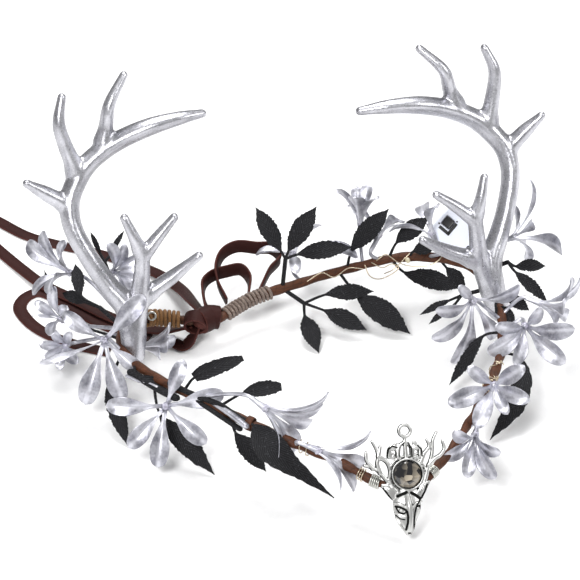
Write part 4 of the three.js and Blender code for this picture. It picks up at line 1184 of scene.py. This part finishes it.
def petal(sketch, row, index, thickness):
    """A spoon-shaped petal: a narrow claw, a rounded end, a groove down its middle and edges that cup."""
    ahead, side, top = looking_frame(row.aim, row.lift)
    angle = math.radians(row.turns[index])
    outward = side * math.cos(angle) + top * math.sin(angle)
    flare = math.radians(row.flare)
    curl = math.radians(min(PETAL.curl, row.flare - PETAL.least_flare))
    reach = row.reach[index]
    widest = PETAL.width_share * reach * (row.widths[index] if row.widths else 1)
    stride = reach * curl / math.sin(curl) / PETAL.strides

    def heading(t):
        turn = flare + curl * (2 * t - 1) + PETAL.recurve * max(0, t - PETAL.recurve_from)
        return ahead * math.cos(turn) + outward * math.sin(turn)

    spots = [Vector(row.at) + outward * PETAL.inset]
    for i in range(PETAL.strides):
        spots.append(spots[-1] + heading((i + 0.5) / PETAL.strides) * stride)
    section = two_faced(PETAL_ACROSS)
    beside = outward.cross(ahead)
    rings, halves = [], []
    for i, spot in enumerate(spots):
        t = i / PETAL.strides
        front = beside.cross(heading(t))
        half = petal_width(t) * widest / 2
        cup = PETAL.cup * math.sin(math.pi * t) * min(1, half / PETAL.cup_half)
        groove = 0
        if half > PETAL.groove_half:
            groove = PETAL.groove * math.sin(math.pi * min(1, t * PETAL.groove_run))
        ring = []
        for u, out in section:
            depth = thickness / 2 * (PETAL.edge + (1 - PETAL.edge) * (1 - u * u))
            dip = groove * math.exp(-(u / PETAL.groove_wide) ** 2)
            ring.append(spot + beside * (u * half) + front * (cup * u * u + out * depth - dip))
        rings.append(ring)
        halves.append(half)
    sketch.loft(rings, lambda i, j: (section[j % len(section)][0] * halves[i], i * stride))


def make_flowers(sizes):
    """Spoon-petalled flowers with their stems."""
    for row in FLOWERS:
        ahead, _, _ = looking_frame(row.aim, row.lift)
        throat = Vector(row.at)
        heel = throat - ahead * CALYX.behind
        sketch = Sketch()
        stem = SmoothLine([vine_line.at(row.along), heel, throat])
        sketch.tube(stem, sizes.stem_radius / MM, sides=10, rings=20)
        waist = heel.lerp(throat, CALYX.waist)
        cup = SmoothLine([heel + ahead * CALYX.foot, waist, throat + ahead * CALYX.past])
        sketch.tube(cup, lambda t: CALYX.narrow + (CALYX.mouth - CALYX.narrow) * t ** CALYX.bell, sides=14,
                    rings=12)
        for index in range(len(row.turns)):
            petal(sketch, row, index, sizes.petal_thickness / MM)
        dressed(sketch.build(row.name + "_petals", "pearl"), "silver_petal", row.name)


def make_stamens(sizes):
    """The pebbly clusters in the throats."""
    sketch = Sketch()
    for row in FLOWERS:
        ahead, _, _ = looking_frame(row.aim, row.lift)
        sketch.ball(Vector(row.at) + ahead * CALYX.throat, [CALYX.cluster] * 3, sides=12, rows=8)
    piece = sketch.build("flower_stamens", "stamen")
    grown(piece, "grains", "stamen", density=STAMEN.density, grain_radius=sizes.stamen_radius,
          spread=STAMEN.spread, seed=STAMEN.seed)
    dressed(piece, "silver_petal")


def leaf(sketch, start, row, chance, thickness):
    """A stem and a blade with a midrib, a trough and a frayed edge."""
    middle = Vector(row.via) if row.via else row.base.lerp(row.tip, 0.5) + LEAF_FACE * LEAF.sag
    line = SmoothLine([start, row.base, middle, row.tip])
    stem = SmoothLine([line.even(0.5 * i / LEAF.stem_steps) for i in range(LEAF.stem_steps + 1)])
    sketch.tube(stem, lambda t: LEAF.stem * (1 - LEAF.stem_taper * t), sides=8, rings=16)
    section = two_faced(LEAF_ACROSS)
    rings, halves = [], []
    for i in range(LEAF.rows + 1):
        t = i / LEAF.rows
        station = (1 + 2 * t) / 3  # the blade is the last two of the line's three spans
        along = line.along(station)
        beside = along.cross(-LEAF_FACE).normalized()
        upper = along.cross(beside).normalized()
        half = smooth_value(row.shares, t) * row.width
        fray = LEAF.fray * min(half, LEAF.fray_half) * min(1, LEAF.fray_rise * t)
        left, right = half - fray * chance.random(), half - fray * chance.random()
        trough = LEAF.trough * math.sin(math.pi * t) * min(1, row.width / LEAF.full_width)
        ring = []
        for u, out in section:
            across = u * (right if u > 0 else left)
            rib = LEAF.rib * math.exp(-(across / LEAF.rib_wide) ** 2) * (1 - LEAF.rib_fade * t)
            height = trough * u * u + out * thickness / 2 + rib
            ring.append(line.even(station) + beside * across + upper * height)
        rings.append(ring)
        halves.append(half)
    reach = (row.tip - row.base).length
    sketch.loft(rings, lambda i, j: (abs(section[j % len(section)][0]) * halves[i], reach * i / LEAF.rows))


def make_leaves(sizes):
    """Black leaves and sprigs."""
    for number, row in enumerate(SPRIGS):
        chance = random.Random(LEAF.seed + number)
        start = root = vine_line.at(row.along)
        sketch = Sketch()
        if row.fork:
            start = Vector(row.fork)
            stalk = SmoothLine([root, root.lerp(start, 0.5), start])
            sketch.tube(stalk, LEAF.stem + LEAF.fork_extra, sides=8, rings=8)
        for each in row.blades:
            leaf(sketch, start, each, chance, sizes.leaf_thickness / MM)
        dressed(sketch.build(row.name + "_cloth", "leaf", sharp=60), "black_leaf", row.name)


def make_tie(sizes):
    """The ribbon's loops and bows, and the knot that they leave."""
    for row in RIBBONS:
        if row.name not in TAIL_NAMES:
            ribbon(row, sizes)
    width, thickness = sizes.ribbon_width / MM, sizes.ribbon_thickness / MM
    sketch = Sketch()
    sketch.ball(KNOT.at, [KNOT.core * size for size in KNOT.size], sides=24, rows=16)
    for band in KNOT_BANDS:
        place = Matrix.Translation(KNOT.at + Vector(band.shift))
        place = place @ rotation(band.yaw, "Z") @ rotation(band.pitch, "Y")
        sketch.hoop(place, band.radii, width, thickness)
    flap = SmoothLine([spot[:3] for spot in FLAP_LINE])
    leans = [spot[3] for spot in FLAP_LINE]
    sketch.strip(flap, width, thickness, leans, STRIP_STEPS * len(leans))
    dressed(sketch.build("ribbon_knot_leather", "leather", sharp=50), "brown_leather", "ribbon_knot")


def make_wraps(sizes):
    """Twine and cord wound round the vine's two ends, and the wires that hold the pendant."""
    for row in WRAPS:
        piece = wound(row.node + "_strand", row.finish, row, getattr(sizes, row.strand), TURN_POINTS.wrap)
        dressed(piece, row.slot, row.node)


def crease_and_shadow_share(spot):
    """How dark the drawn creases and painted shadows make a spot of the charm's face, right and up of its
    middle.
    """
    darkest = 0.0
    for crease in CHARM_CREASES_AND_SHADOWS:
        corners = [Vector(corner) for corner in crease.spots]
        for a, b in zip(corners, corners[1:]):
            nearest = a.lerp(b, clamped((spot - a).dot(b - a) / (b - a).length_squared))
            away = (spot - nearest).length
            darkest = max(darkest, min(1.0, PATINA_AND_SHADE.ink - away / crease.half))
    return darkest


def hollowness(mesh):
    """How far the neighbours of each point stand above it, eased a few times over."""
    near = [[] for _ in mesh.vertices]
    for edge in mesh.edges:
        a, b = edge.vertices
        near[a].append(b)
        near[b].append(a)
    bend = []
    for vertex in mesh.vertices:
        ways = [(mesh.vertices[j].co - vertex.co).normalized() for j in near[vertex.index]]
        rises = [way.dot(vertex.normal) for way in ways]
        bend.append(sum(rises) / max(len(rises), 1))
    for _ in range(PATINA_AND_SHADE.rounds):
        bend = [0.5 * own + 0.5 * sum(bend[j] for j in others) / max(len(others), 1)
                for own, others in zip(bend, near)]
    return bend


def patina_and_shade(piece, place):
    """Writes how black the casting is: patina in hollows and creases, painted shade on its sides, on one
    side of its wires and along some drawn lines.
    """
    back = place.inverted()
    turn = place.to_3x3()
    ahead = turn @ Vector((0, 0, 1))
    bright = (turn @ Vector(PATINA_AND_SHADE.wire_bright)).normalized()
    values = []
    for vertex, hollow in zip(piece.data.vertices, hollowness(piece.data)):
        facing = vertex.normal.dot(ahead)
        spot = back @ (vertex.co / MM - CROWN_SHIFT)
        # wires: painted shade on the side turned from wire_bright; head: painted shade where it turns from
        # its face
        if spot.y > PATINA_AND_SHADE.head_top:
            side = 1 - vertex.normal.dot(bright) / PATINA_AND_SHADE.wire_side
        else:
            side = 1 - facing / PATINA_AND_SHADE.head_side
        side = min(side, PATINA_AND_SHADE.back * (1 + facing))  # no painted side shade on the back
        ink = crease_and_shadow_share(spot.xy) if facing > 0 else 0.0
        values.append(clamped(max(PATINA_AND_SHADE.gain * hollow, side, ink)))
    write_values(piece, "patina_and_shade", values)


def deer_head(sketch):
    """The charm's head with its brow, eyes, nose and ears."""
    line = SmoothLine([row[:3] for row in HEAD_LINE])
    wide = [row[3] for row in HEAD_LINE]
    deep = [row[4] for row in HEAD_LINE]
    loops = []
    for i in range(HEAD.rows + 1):
        t = i / HEAD.rows
        w, d = smooth_value(wide, t), smooth_value(deep, t)
        loops.append([line.even(t) + Vector((w * math.cos(a), 0, d * math.sin(a)))
                      for a in around(HEAD.sides)])
    sketch.loft(loops)
    for row in HEAD_BARS:
        sketch.tube(SmoothLine(row.spots), lambda t: smooth_value(row.radii, t), sides=10, rings=16)
    for eye in HEAD_EYES:
        sketch.ball(eye, EYE_RADII)
    for row in EARS:
        ear(sketch, row)


def ear(sketch, row):
    """An ear: a flattened middle between two rims."""
    base, tip = Vector(row.base), Vector(row.tip)
    middle = SmoothLine([base, base.lerp(tip, 0.5) + EAR.bend, tip])
    shares = [k / EAR.steps for k in range(EAR.steps + 1)]
    for side in (-1, 1):
        rim = [middle.at(t) + EAR.sideways * side * smooth_value(EAR.widths, t) * row.width for t in shares]
        sketch.tube(SmoothLine(rim), EAR.rim, sides=8, rings=14)
    sketch.tube(middle, lambda t: EAR.fill * row.width * smooth_value(EAR.widths, t), sides=10, rings=14,
                shape=flattened(EAR.flat, EAR.flat_beyond))


def flattened(share, beyond):
    """The section of a bar that is pressed flat on two sides."""
    return lambda angle, t: 1 if abs(math.cos(angle)) > beyond else share


def curl_line(row):
    """A small flat spiral of the charm's filigree."""
    spots = []
    for k in range(CURL.steps + 1):
        a = math.radians(row.start) + FULL_TURN * row.turns * k / CURL.steps
        r = row.radius * (1 - CURL.tighten * k / CURL.steps)
        spots.append((row.x + r * math.cos(a), row.y + r * math.sin(a), CURL.out))
    return SmoothLine(spots)


def make_pendant():
    """The cast deer-head charm round its bezel."""
    sketch = Sketch()
    bezel, seat, rim, back, floor = PENDANT.bezel, PENDANT.seat, PENDANT.rim, PENDANT.back, PENDANT.floor
    sketch.lathe([(0.4, back), (bezel - 0.4, back), (bezel, back + 0.4), (bezel, rim - 0.5),
                  (bezel - 0.3, rim), (seat + 0.2, rim), (seat, rim - 0.4), (seat, floor), (0.4, floor)], 64)
    for row in CHARM_RINGS:
        sketch.ring(Matrix.Translation(row.at), row.radius, row.wire)
    for spots in CHARM_BRANCHES + CHARM_SCROLLS:
        wire = SmoothLine([(x, y, 0) for x, y in spots])
        sketch.tube(wire, lambda t: CHARM_WIRE.root - CHARM_WIRE.taper * t, sides=10, rings=30)
    for row in CHARM_CURLS:
        sketch.tube(curl_line(row), CURL.wire, sides=8, rings=40)
    deer_head(sketch)
    place = face_place(PENDANT.at)
    piece = fused(sketch.moved(place).build("pendant_cast", "cast"), PENDANT.voxel, PENDANT.ease)
    patina_and_shade(piece, place)
    dressed(piece, "antique_silver", "pendant")


def make_stone():
    """A brilliant-cut stone, drawn as the hull of its corners so that every facet is flat."""
    half = math.pi / STONE.facets
    middle = 0.5 * (STONE.table + STONE.girdle)
    rows = [(STONE.table, STONE.top, 0), (middle, STONE.shoulder, half), (STONE.girdle, STONE.crown, 0),
            (STONE.girdle, STONE.crown, half), (STONE.girdle - STONE.chamfer, STONE.base, 0)]
    place = face_place(PENDANT.at)
    spots = []
    for radius, height, turn in rows:
        for j in range(STONE.facets):
            a = 2 * half * j + turn
            spots.append(place @ Vector((radius * math.cos(a), radius * math.sin(a), height)))
    shell = bmesh.new()
    for corner in in_frame(spots):
        shell.verts.new(corner)
    bmesh.ops.convex_hull(shell, input=shell.verts)
    bmesh.ops.recalc_face_normals(shell, faces=shell.faces)
    dressed(plain_mesh("pendant_stone_glass", shell, "stone"), "smoky_stone", "pendant_stone")


def plain_mesh(name, shell, key):
    """A new object from a mesh that is done with, in a finish."""
    mesh = bpy.data.meshes.new(name)
    shell.to_mesh(mesh)
    shell.free()
    mesh.materials.append(finish(key))
    return placed(name, mesh)


def rounded(width, height, corner, out, x=0.0, y=0.0):
    """A rounded rectangle's points at one height, corner by corner."""
    ring = []
    for quarter, (sx, sy) in enumerate(((1, 1), (-1, 1), (-1, -1), (1, -1))):
        for k in range(CORNER_STEPS + 1):
            a = math.pi / 2 * (quarter + k / CORNER_STEPS)
            ring.append(Vector((x + sx * (width / 2 - corner) + corner * math.cos(a),
                                y + sy * (height / 2 - corner) + corner * math.sin(a), out)))
    return ring


def make_battery_box():
    """The white battery box with its seam and its switch's recess, and dark marks on its face: a painted
    shadow beside the recess, two dots and a slot.
    """
    seam, half, hole = BOX.seam, BOX.deep / 2, BUTTON.recess

    def outline(inset, out):
        return rounded(BOX.across - 2 * inset, BOX.high - 2 * inset, BOX.corner - inset, out)

    def recess(out):
        return rounded(hole, hole, BUTTON.corner, out, BUTTON.x, BUTTON.y)

    sketch = Sketch()
    sketch.loft([
        outline(BOX.bevel, -BOX.deep), outline(0, BOX.bevel - BOX.deep), outline(0, -half - seam),
        outline(seam, -half), outline(0, seam - half), outline(0, -BOX.bevel), outline(BOX.bevel, 0),
        recess(0), recess(-BUTTON.depth)])
    place = face_place(BOX.at, BOX.turn)
    shell = sketch.moved(place).build("battery_box_shell", "white", sharp=40)
    dressed(shell, "white_plastic", "battery_box")
    marks = Sketch()
    # marks on the box's face, among them the painted shadow beside the switch's recess
    for mark in BOX_SHADOW_AND_MARKS:
        marks.loft([rounded(mark.wide, mark.high, mark.corner, out, mark.x, mark.y) for out in MARK_HEIGHTS])
    dressed(marks.moved(place).build("battery_marks", "black", sharp=40), "black_plastic")


def make_button():
    """The black push button."""
    low = BUTTON.travel + BUTTON.gap - BUTTON.depth
    outlines = [(BUTTON.size - less, corner, BUTTON.proud - under) for less, corner, under in BUTTON_RINGS]
    outlines.insert(0, (BUTTON.size, outlines[0][1], low))
    sketch = Sketch()
    sketch.loft([rounded(wide, wide, corner, out, BUTTON.x, BUTTON.y) for wide, corner, out in outlines])
    piece = sketch.moved(face_place(BOX.at, BOX.turn)).build("battery_button_cap", "black", sharp=40)
    dressed(piece, "black_plastic", "battery_button", body=BUTTON_BODY)


def make_fairy_lights(sizes):
    """The thin wire of the lights, wound along the vine, and its lamp drops."""
    for number, row in enumerate(LIGHT_WIRES, 1):
        piece = wound("light_wire_%d" % number, "copper", row, sizes.wire_radius, TURN_POINTS.light)
        dressed(piece, "silver_wire")
    loose = Sketch()
    for spots in LOOSE_WIRES:
        loose.tube(SmoothLine(spots), sizes.wire_radius / MM, sides=8, rings=16 * len(spots))
    dressed(loose.build("light_wire_loose", "copper"), "silver_wire")
    piece = bare_mesh("light_drops", LAMPS, [])
    grown(piece, "drops", "lamp", drop_radius=sizes.lamp_radius)
    dressed(piece, "silver_wire")


def make_trim():
    """Cut stalks along the front of the vine, the band that ties them down and a small eyelet."""
    for row in TRIM:
        sketch = Sketch()
        for stalk in row.stalks:
            pressed = flattened(STALK.flat, STALK.flat_beyond)
            sketch.tube(SmoothLine(stalk.spots), stalk.radius, shape=pressed)
        dressed(sketch.build(row.name, row.finish), row.slot)
    ahead = vine_line.at(BAND.along + BAND.step) - vine_line.at(BAND.along - BAND.step)
    place = Matrix.Translation(vine_line.at(BAND.along) + BAND.shift)
    place = place @ ahead.to_track_quat("Z", "Y").to_matrix().to_4x4()
    band = Sketch()
    band.hoop(place, BAND.radii, BAND.width, BAND.thickness)
    dressed(band.build("vine_bands", "bark", sharp=50), "brown_vine")
    eyelet = Sketch()
    eyelet.ring(face_place(EYELET.at), EYELET.radius, EYELET.wire)
    dressed(eyelet.build("eyelet", "wire"), "silver_wire")


# The stage


def make_stage(tones):
    """A white table, soft lights and the camera that took the photograph's view."""
    scene = bpy.context.scene
    shell = bmesh.new()
    bmesh.ops.create_grid(shell, x_segments=1, y_segments=1, size=STAGE.floor)
    plain_mesh("floor", shell, "floor")
    world = bpy.data.worlds.new("Studio")
    world.use_nodes = True
    background = world.node_tree.nodes["Background"].inputs
    background["Color"].default_value = tones.sky
    background["Strength"].default_value = STAGE.sky
    scene.world = world
    for row in LIGHTS:
        lamp = bpy.data.lights.new(row.name, "AREA")
        lamp.shape = "DISK"
        lamp.size = row.size
        lamp.energy = row.watts
        holder = placed(row.name, lamp)
        holder.location = row.at
        holder.rotation_euler = (STAGE.aim - Vector(row.at)).to_track_quat("-Z", "Y").to_euler()
    make_camera(scene)
    scene.view_settings.view_transform = "Standard"


def make_camera(scene):
    """The camera, placed round its target by angle and distance."""
    azimuth, elevation = math.radians(CAMERA.azimuth), math.radians(CAMERA.elevation)
    back = Vector((math.sin(azimuth) * math.cos(elevation), -math.cos(azimuth) * math.cos(elevation),
                   math.sin(elevation)))
    data = bpy.data.cameras.new("camera")
    data.sensor_width = CAMERA.sensor
    data.lens = CAMERA.sensor * CAMERA.distance / CAMERA.width
    camera = placed("camera", data)
    camera.location = in_frame([Vector(CAMERA.target) + back * CAMERA.distance])[0]
    camera.rotation_euler = (-back).to_track_quat("-Z", "Y").to_euler()
    scene.camera = camera


# What a user can change


def colour(label, text, what):
    """A colour property from an sRGB hex colour."""
    return bpy.props.FloatVectorProperty(
        name=label, description=what, subtype="COLOR", size=4, min=0.0, max=1.0, default=hex_colour(text))


def length(label, millimetres, what):
    """A length property from millimetres."""
    return bpy.props.FloatProperty(name=label, description=what, unit="LENGTH", default=millimetres * MM)


class HeadbandSizes(bpy.types.PropertyGroup):
    """Sizes of the finished pieces."""

    vine_radius: length("Vine radius", 2.5, "Half the width of the twisted vine")
    vine_pitch: length("Vine pitch", 27, "Length of one full twist of the vine")
    ribbon_width: length("Ribbon width", 7, "Width of the leather ribbon")
    ribbon_thickness: length("Ribbon thickness", 1.2, "Thickness of the leather ribbon")
    petal_thickness: length("Petal thickness", 0.95, "Thickness in the middle of a petal")
    stem_radius: length("Stem radius", 0.95, "Radius of a flower's stem")
    stamen_radius: length("Stamen radius", 0.52, "Radius of a grain in a flower's throat")
    leaf_thickness: length("Leaf thickness", 0.5, "Thickness of a leaf's cloth")
    twine_radius: length("Twine radius", 0.8, "Radius of the grey twine")
    cord_radius: length("Cord radius", 1.05, "Radius of the tan cord")
    binding_radius: length("Binding radius", 0.42, "Radius of the wire that holds the pendant")
    wire_radius: length("Light wire radius", 0.28, "Radius of the fairy lights' wire")
    lamp_radius: length("Lamp radius", 1.3, "Radius of a lamp drop")


class HeadbandTones(bpy.types.PropertyGroup):
    """Colours of the finishes."""

    silver: colour("Silver paint", "#cfcfd5", "Antler paint")
    silver_shade: colour("Silver shade", "#b2b2b8", "Antler paint where it pools")
    # Painted shade on the antler's sides, standing in for dark reflections
    silver_dark: colour("Silver sides", "#505056", "Antler paint worn thin on the sides")
    silver_light: colour("Silver specks", "#eeeef2", "Bright specks in the antler paint")
    # The petal tones are mixed by random clouds and a pale line along each petal's middle
    petal: colour("Petal", "#d6d6de", "Rubbed swellings of a petal")
    petal_shade: colour("Petal shade", "#82828c", "Hollows of a petal")
    stamen: colour("Stamen", "#d4d2e0", "Grains in a flower's throat")
    stamen_shade: colour("Stamen shade", "#8f8c9e", "Gaps between the grains")
    leaf: colour("Leaf", "#28282b", "Raised veins of a leaf")
    leaf_shade: colour("Leaf shade", "#0f0f11", "Hollows between the veins")
    leaf_dust: colour("Leaf dust", "#66666b", "Silver specks on a leaf")
    bark: colour("Bark", "#62371f", "Vine paper")
    # Dark fibres of the vine paper, also its painted shadow at each turn's edge
    bark_shade: colour("Bark shade", "#311a0d", "Vine paper in the creases")
    leather: colour("Leather", "#3a1b18", "Faces of the ribbon")
    leather_shade: colour("Leather shade", "#28110f", "Darker patches of the ribbon")
    leather_edge: colour("Leather edge", "#562f2a", "Cut edges of the ribbon")
    twine: colour("Twine", "#9b8b81", "Light fibres of the twine")
    twine_shade: colour("Twine shade", "#43332b", "Dark fibres of the twine")
    cord: colour("Cord", "#94693a", "Light fibres of the cord")
    cord_shade: colour("Cord shade", "#5c3d1d", "Dark fibres of the cord")
    cast_silver: colour("Cast silver", "#c8c8c6", "Polished places of the charm")
    # Also the painted shade on the charm's sides and wires, and its painted shadows
    cast_black: colour("Cast black", "#0d0d0c", "Blackened hollows of the charm")
    # The stone's facets take these tones as painted reflections
    stone_dark: colour("Stone dark", "#151417", "Dark facets of the stone")
    stone_light: colour("Stone light", "#b3a896", "Light facets of the stone")
    wire: colour("Binding wire", "#cfcfc9", "Wire that holds the pendant")
    copper: colour("Light wire", "#d2c3aa", "Wire of the fairy lights")
    white: colour("White plastic", "#e9edf8", "Battery box")
    # Also the box's marks, among them the painted shadow beside the switch's recess
    black: colour("Black plastic", "#1a1a1c", "Button and switch seat")
    lamp: colour("Lamp", "#f2ecd8", "Outside of a lamp drop")
    lamp_core: colour("Lamp core", "#e2d29a", "Middle of a lamp drop")
    floor: colour("Floor", "#f4f4f4", "Table paper")
    floor_light: colour("Floor light", "#fafafa", "Light tooth of the table paper")
    sky: colour("Studio", "#ffffff", "Light from all round")


FINISHES = {
    "silver": satin_silver_paint,
    "pearl": pearl_petal,
    "leaf": black_leaf_cloth,
    "bark": bark_paper,
    "leather": brown_lace_leather,
    "cast": antique_cast_silver,
    "stone": smoky_cut_glass,
    "lamp": lamp_resin,
    "floor": pale_floor,
    "stamen": lambda tones: spun_strand("Pearl stamens", tones.stamen_shade, tones.stamen, 0.45),
    "twine": lambda tones: spun_strand("Grey hemp twine", tones.twine_shade, tones.twine, 0.85),
    "cord": lambda tones: spun_strand("Tan waxed cord", tones.cord_shade, tones.cord, 0.6),
    "wire": lambda tones: drawn_wire("Tinned wire", tones.wire),
    "copper": lambda tones: drawn_wire("Copper light wire", tones.copper),
    "white": lambda tones: moulded_plastic("White moulded plastic", tones.white, 0.35, 0.45),
    "black": lambda tones: moulded_plastic("Black moulded plastic", tones.black, 0.4, 0.55),
}
made_finishes = {}


def finish(key):
    """The material of a finish, made when it is first asked for."""
    if key not in made_finishes:
        made_finishes[key] = FINISHES[key](bpy.context.scene.headband_tones)
    return made_finishes[key]


# Operators, in the order in which they run


class HEADBAND_OT_stage(bpy.types.Operator):
    """Makes the table, the lights and the camera"""

    bl_idname = "headband.stage"
    bl_label = "Stage"

    def execute(self, context):
        make_stage(context.scene.headband_tones)
        return {"FINISHED"}


class HEADBAND_OT_tails(bpy.types.Operator):
    """Makes the ribbon's two free ends"""

    bl_idname = "headband.tails"
    bl_label = "Ribbon tails"

    def execute(self, context):
        make_tails(context.scene.headband_sizes)
        return {"FINISHED"}


class HEADBAND_OT_vine(bpy.types.Operator):
    """Makes the twisted vine circlet"""

    bl_idname = "headband.vine"
    bl_label = "Vine"

    def execute(self, context):
        make_vine(context.scene.headband_sizes)
        return {"FINISHED"}


class HEADBAND_OT_antlers(bpy.types.Operator):
    """Makes the two antlers"""

    bl_idname = "headband.antlers"
    bl_label = "Antlers"

    def execute(self, context):
        make_antlers()
        return {"FINISHED"}


class HEADBAND_OT_flowers(bpy.types.Operator):
    """Makes the flowers, their stems and their stamens"""

    bl_idname = "headband.flowers"
    bl_label = "Flowers"

    def execute(self, context):
        make_flowers(context.scene.headband_sizes)
        make_stamens(context.scene.headband_sizes)
        return {"FINISHED"}


class HEADBAND_OT_leaves(bpy.types.Operator):
    """Makes the black leaves and sprigs"""

    bl_idname = "headband.leaves"
    bl_label = "Leaves"

    def execute(self, context):
        make_leaves(context.scene.headband_sizes)
        return {"FINISHED"}


class HEADBAND_OT_tie(bpy.types.Operator):
    """Makes the leather loops, bows and knot"""

    bl_idname = "headband.tie"
    bl_label = "Leather tie"

    def execute(self, context):
        make_tie(context.scene.headband_sizes)
        return {"FINISHED"}


class HEADBAND_OT_wraps(bpy.types.Operator):
    """Winds the twine, the cord and the pendant's wires"""

    bl_idname = "headband.wraps"
    bl_label = "Wraps"

    def execute(self, context):
        make_wraps(context.scene.headband_sizes)
        return {"FINISHED"}


class HEADBAND_OT_pendant(bpy.types.Operator):
    """Makes the deer-head pendant and its stone"""

    bl_idname = "headband.pendant"
    bl_label = "Pendant"

    def execute(self, context):
        make_pendant()
        make_stone()
        return {"FINISHED"}


class HEADBAND_OT_battery_box(bpy.types.Operator):
    """Makes the battery box and its button"""

    bl_idname = "headband.battery_box"
    bl_label = "Battery box"

    def execute(self, context):
        make_battery_box()
        make_button()
        return {"FINISHED"}


class HEADBAND_OT_fairy_lights(bpy.types.Operator):
    """Winds the fairy lights along the vine"""

    bl_idname = "headband.fairy_lights"
    bl_label = "Fairy lights"

    def execute(self, context):
        make_fairy_lights(context.scene.headband_sizes)
        return {"FINISHED"}


class HEADBAND_OT_trim(bpy.types.Operator):
    """Makes the cut stalks, their band and a small eyelet"""

    bl_idname = "headband.trim"
    bl_label = "Trim"

    def execute(self, context):
        make_trim()
        return {"FINISHED"}


OPERATORS = (
    HEADBAND_OT_stage, HEADBAND_OT_tails, HEADBAND_OT_vine, HEADBAND_OT_antlers, HEADBAND_OT_flowers,
    HEADBAND_OT_leaves, HEADBAND_OT_tie, HEADBAND_OT_wraps, HEADBAND_OT_pendant, HEADBAND_OT_battery_box,
    HEADBAND_OT_fairy_lights, HEADBAND_OT_trim,
)


class HEADBAND_PT_pieces(bpy.types.Panel):
    """Lists the headband's pieces"""

    bl_idname = "HEADBAND_PT_pieces"
    bl_label = "Antler headband"
    bl_space_type = "VIEW_3D"
    bl_region_type = "UI"
    bl_category = "Headband"

    def draw(self, context):
        for operator in OPERATORS:
            self.layout.operator(operator.bl_idname)


CLASSES = (HeadbandSizes, HeadbandTones, *OPERATORS, HEADBAND_PT_pieces)


def register():
    for cls in CLASSES:
        bpy.utils.register_class(cls)
    bpy.types.Scene.headband_sizes = bpy.props.PointerProperty(type=HeadbandSizes)
    bpy.types.Scene.headband_tones = bpy.props.PointerProperty(type=HeadbandTones)


def unregister():
    del bpy.types.Scene.headband_tones
    del bpy.types.Scene.headband_sizes
    for cls in reversed(CLASSES):
        bpy.utils.unregister_class(cls)


def main():
    register()
    bpy.ops.headband.stage()
    bpy.ops.headband.tails()
    bpy.ops.headband.vine()
    bpy.ops.headband.antlers()
    bpy.ops.headband.flowers()
    bpy.ops.headband.leaves()
    bpy.ops.headband.tie()
    bpy.ops.headband.wraps()
    bpy.ops.headband.pendant()
    bpy.ops.headband.battery_box()
    bpy.ops.headband.fairy_lights()
    bpy.ops.headband.trim()


if __name__ == "__main__":
    main()
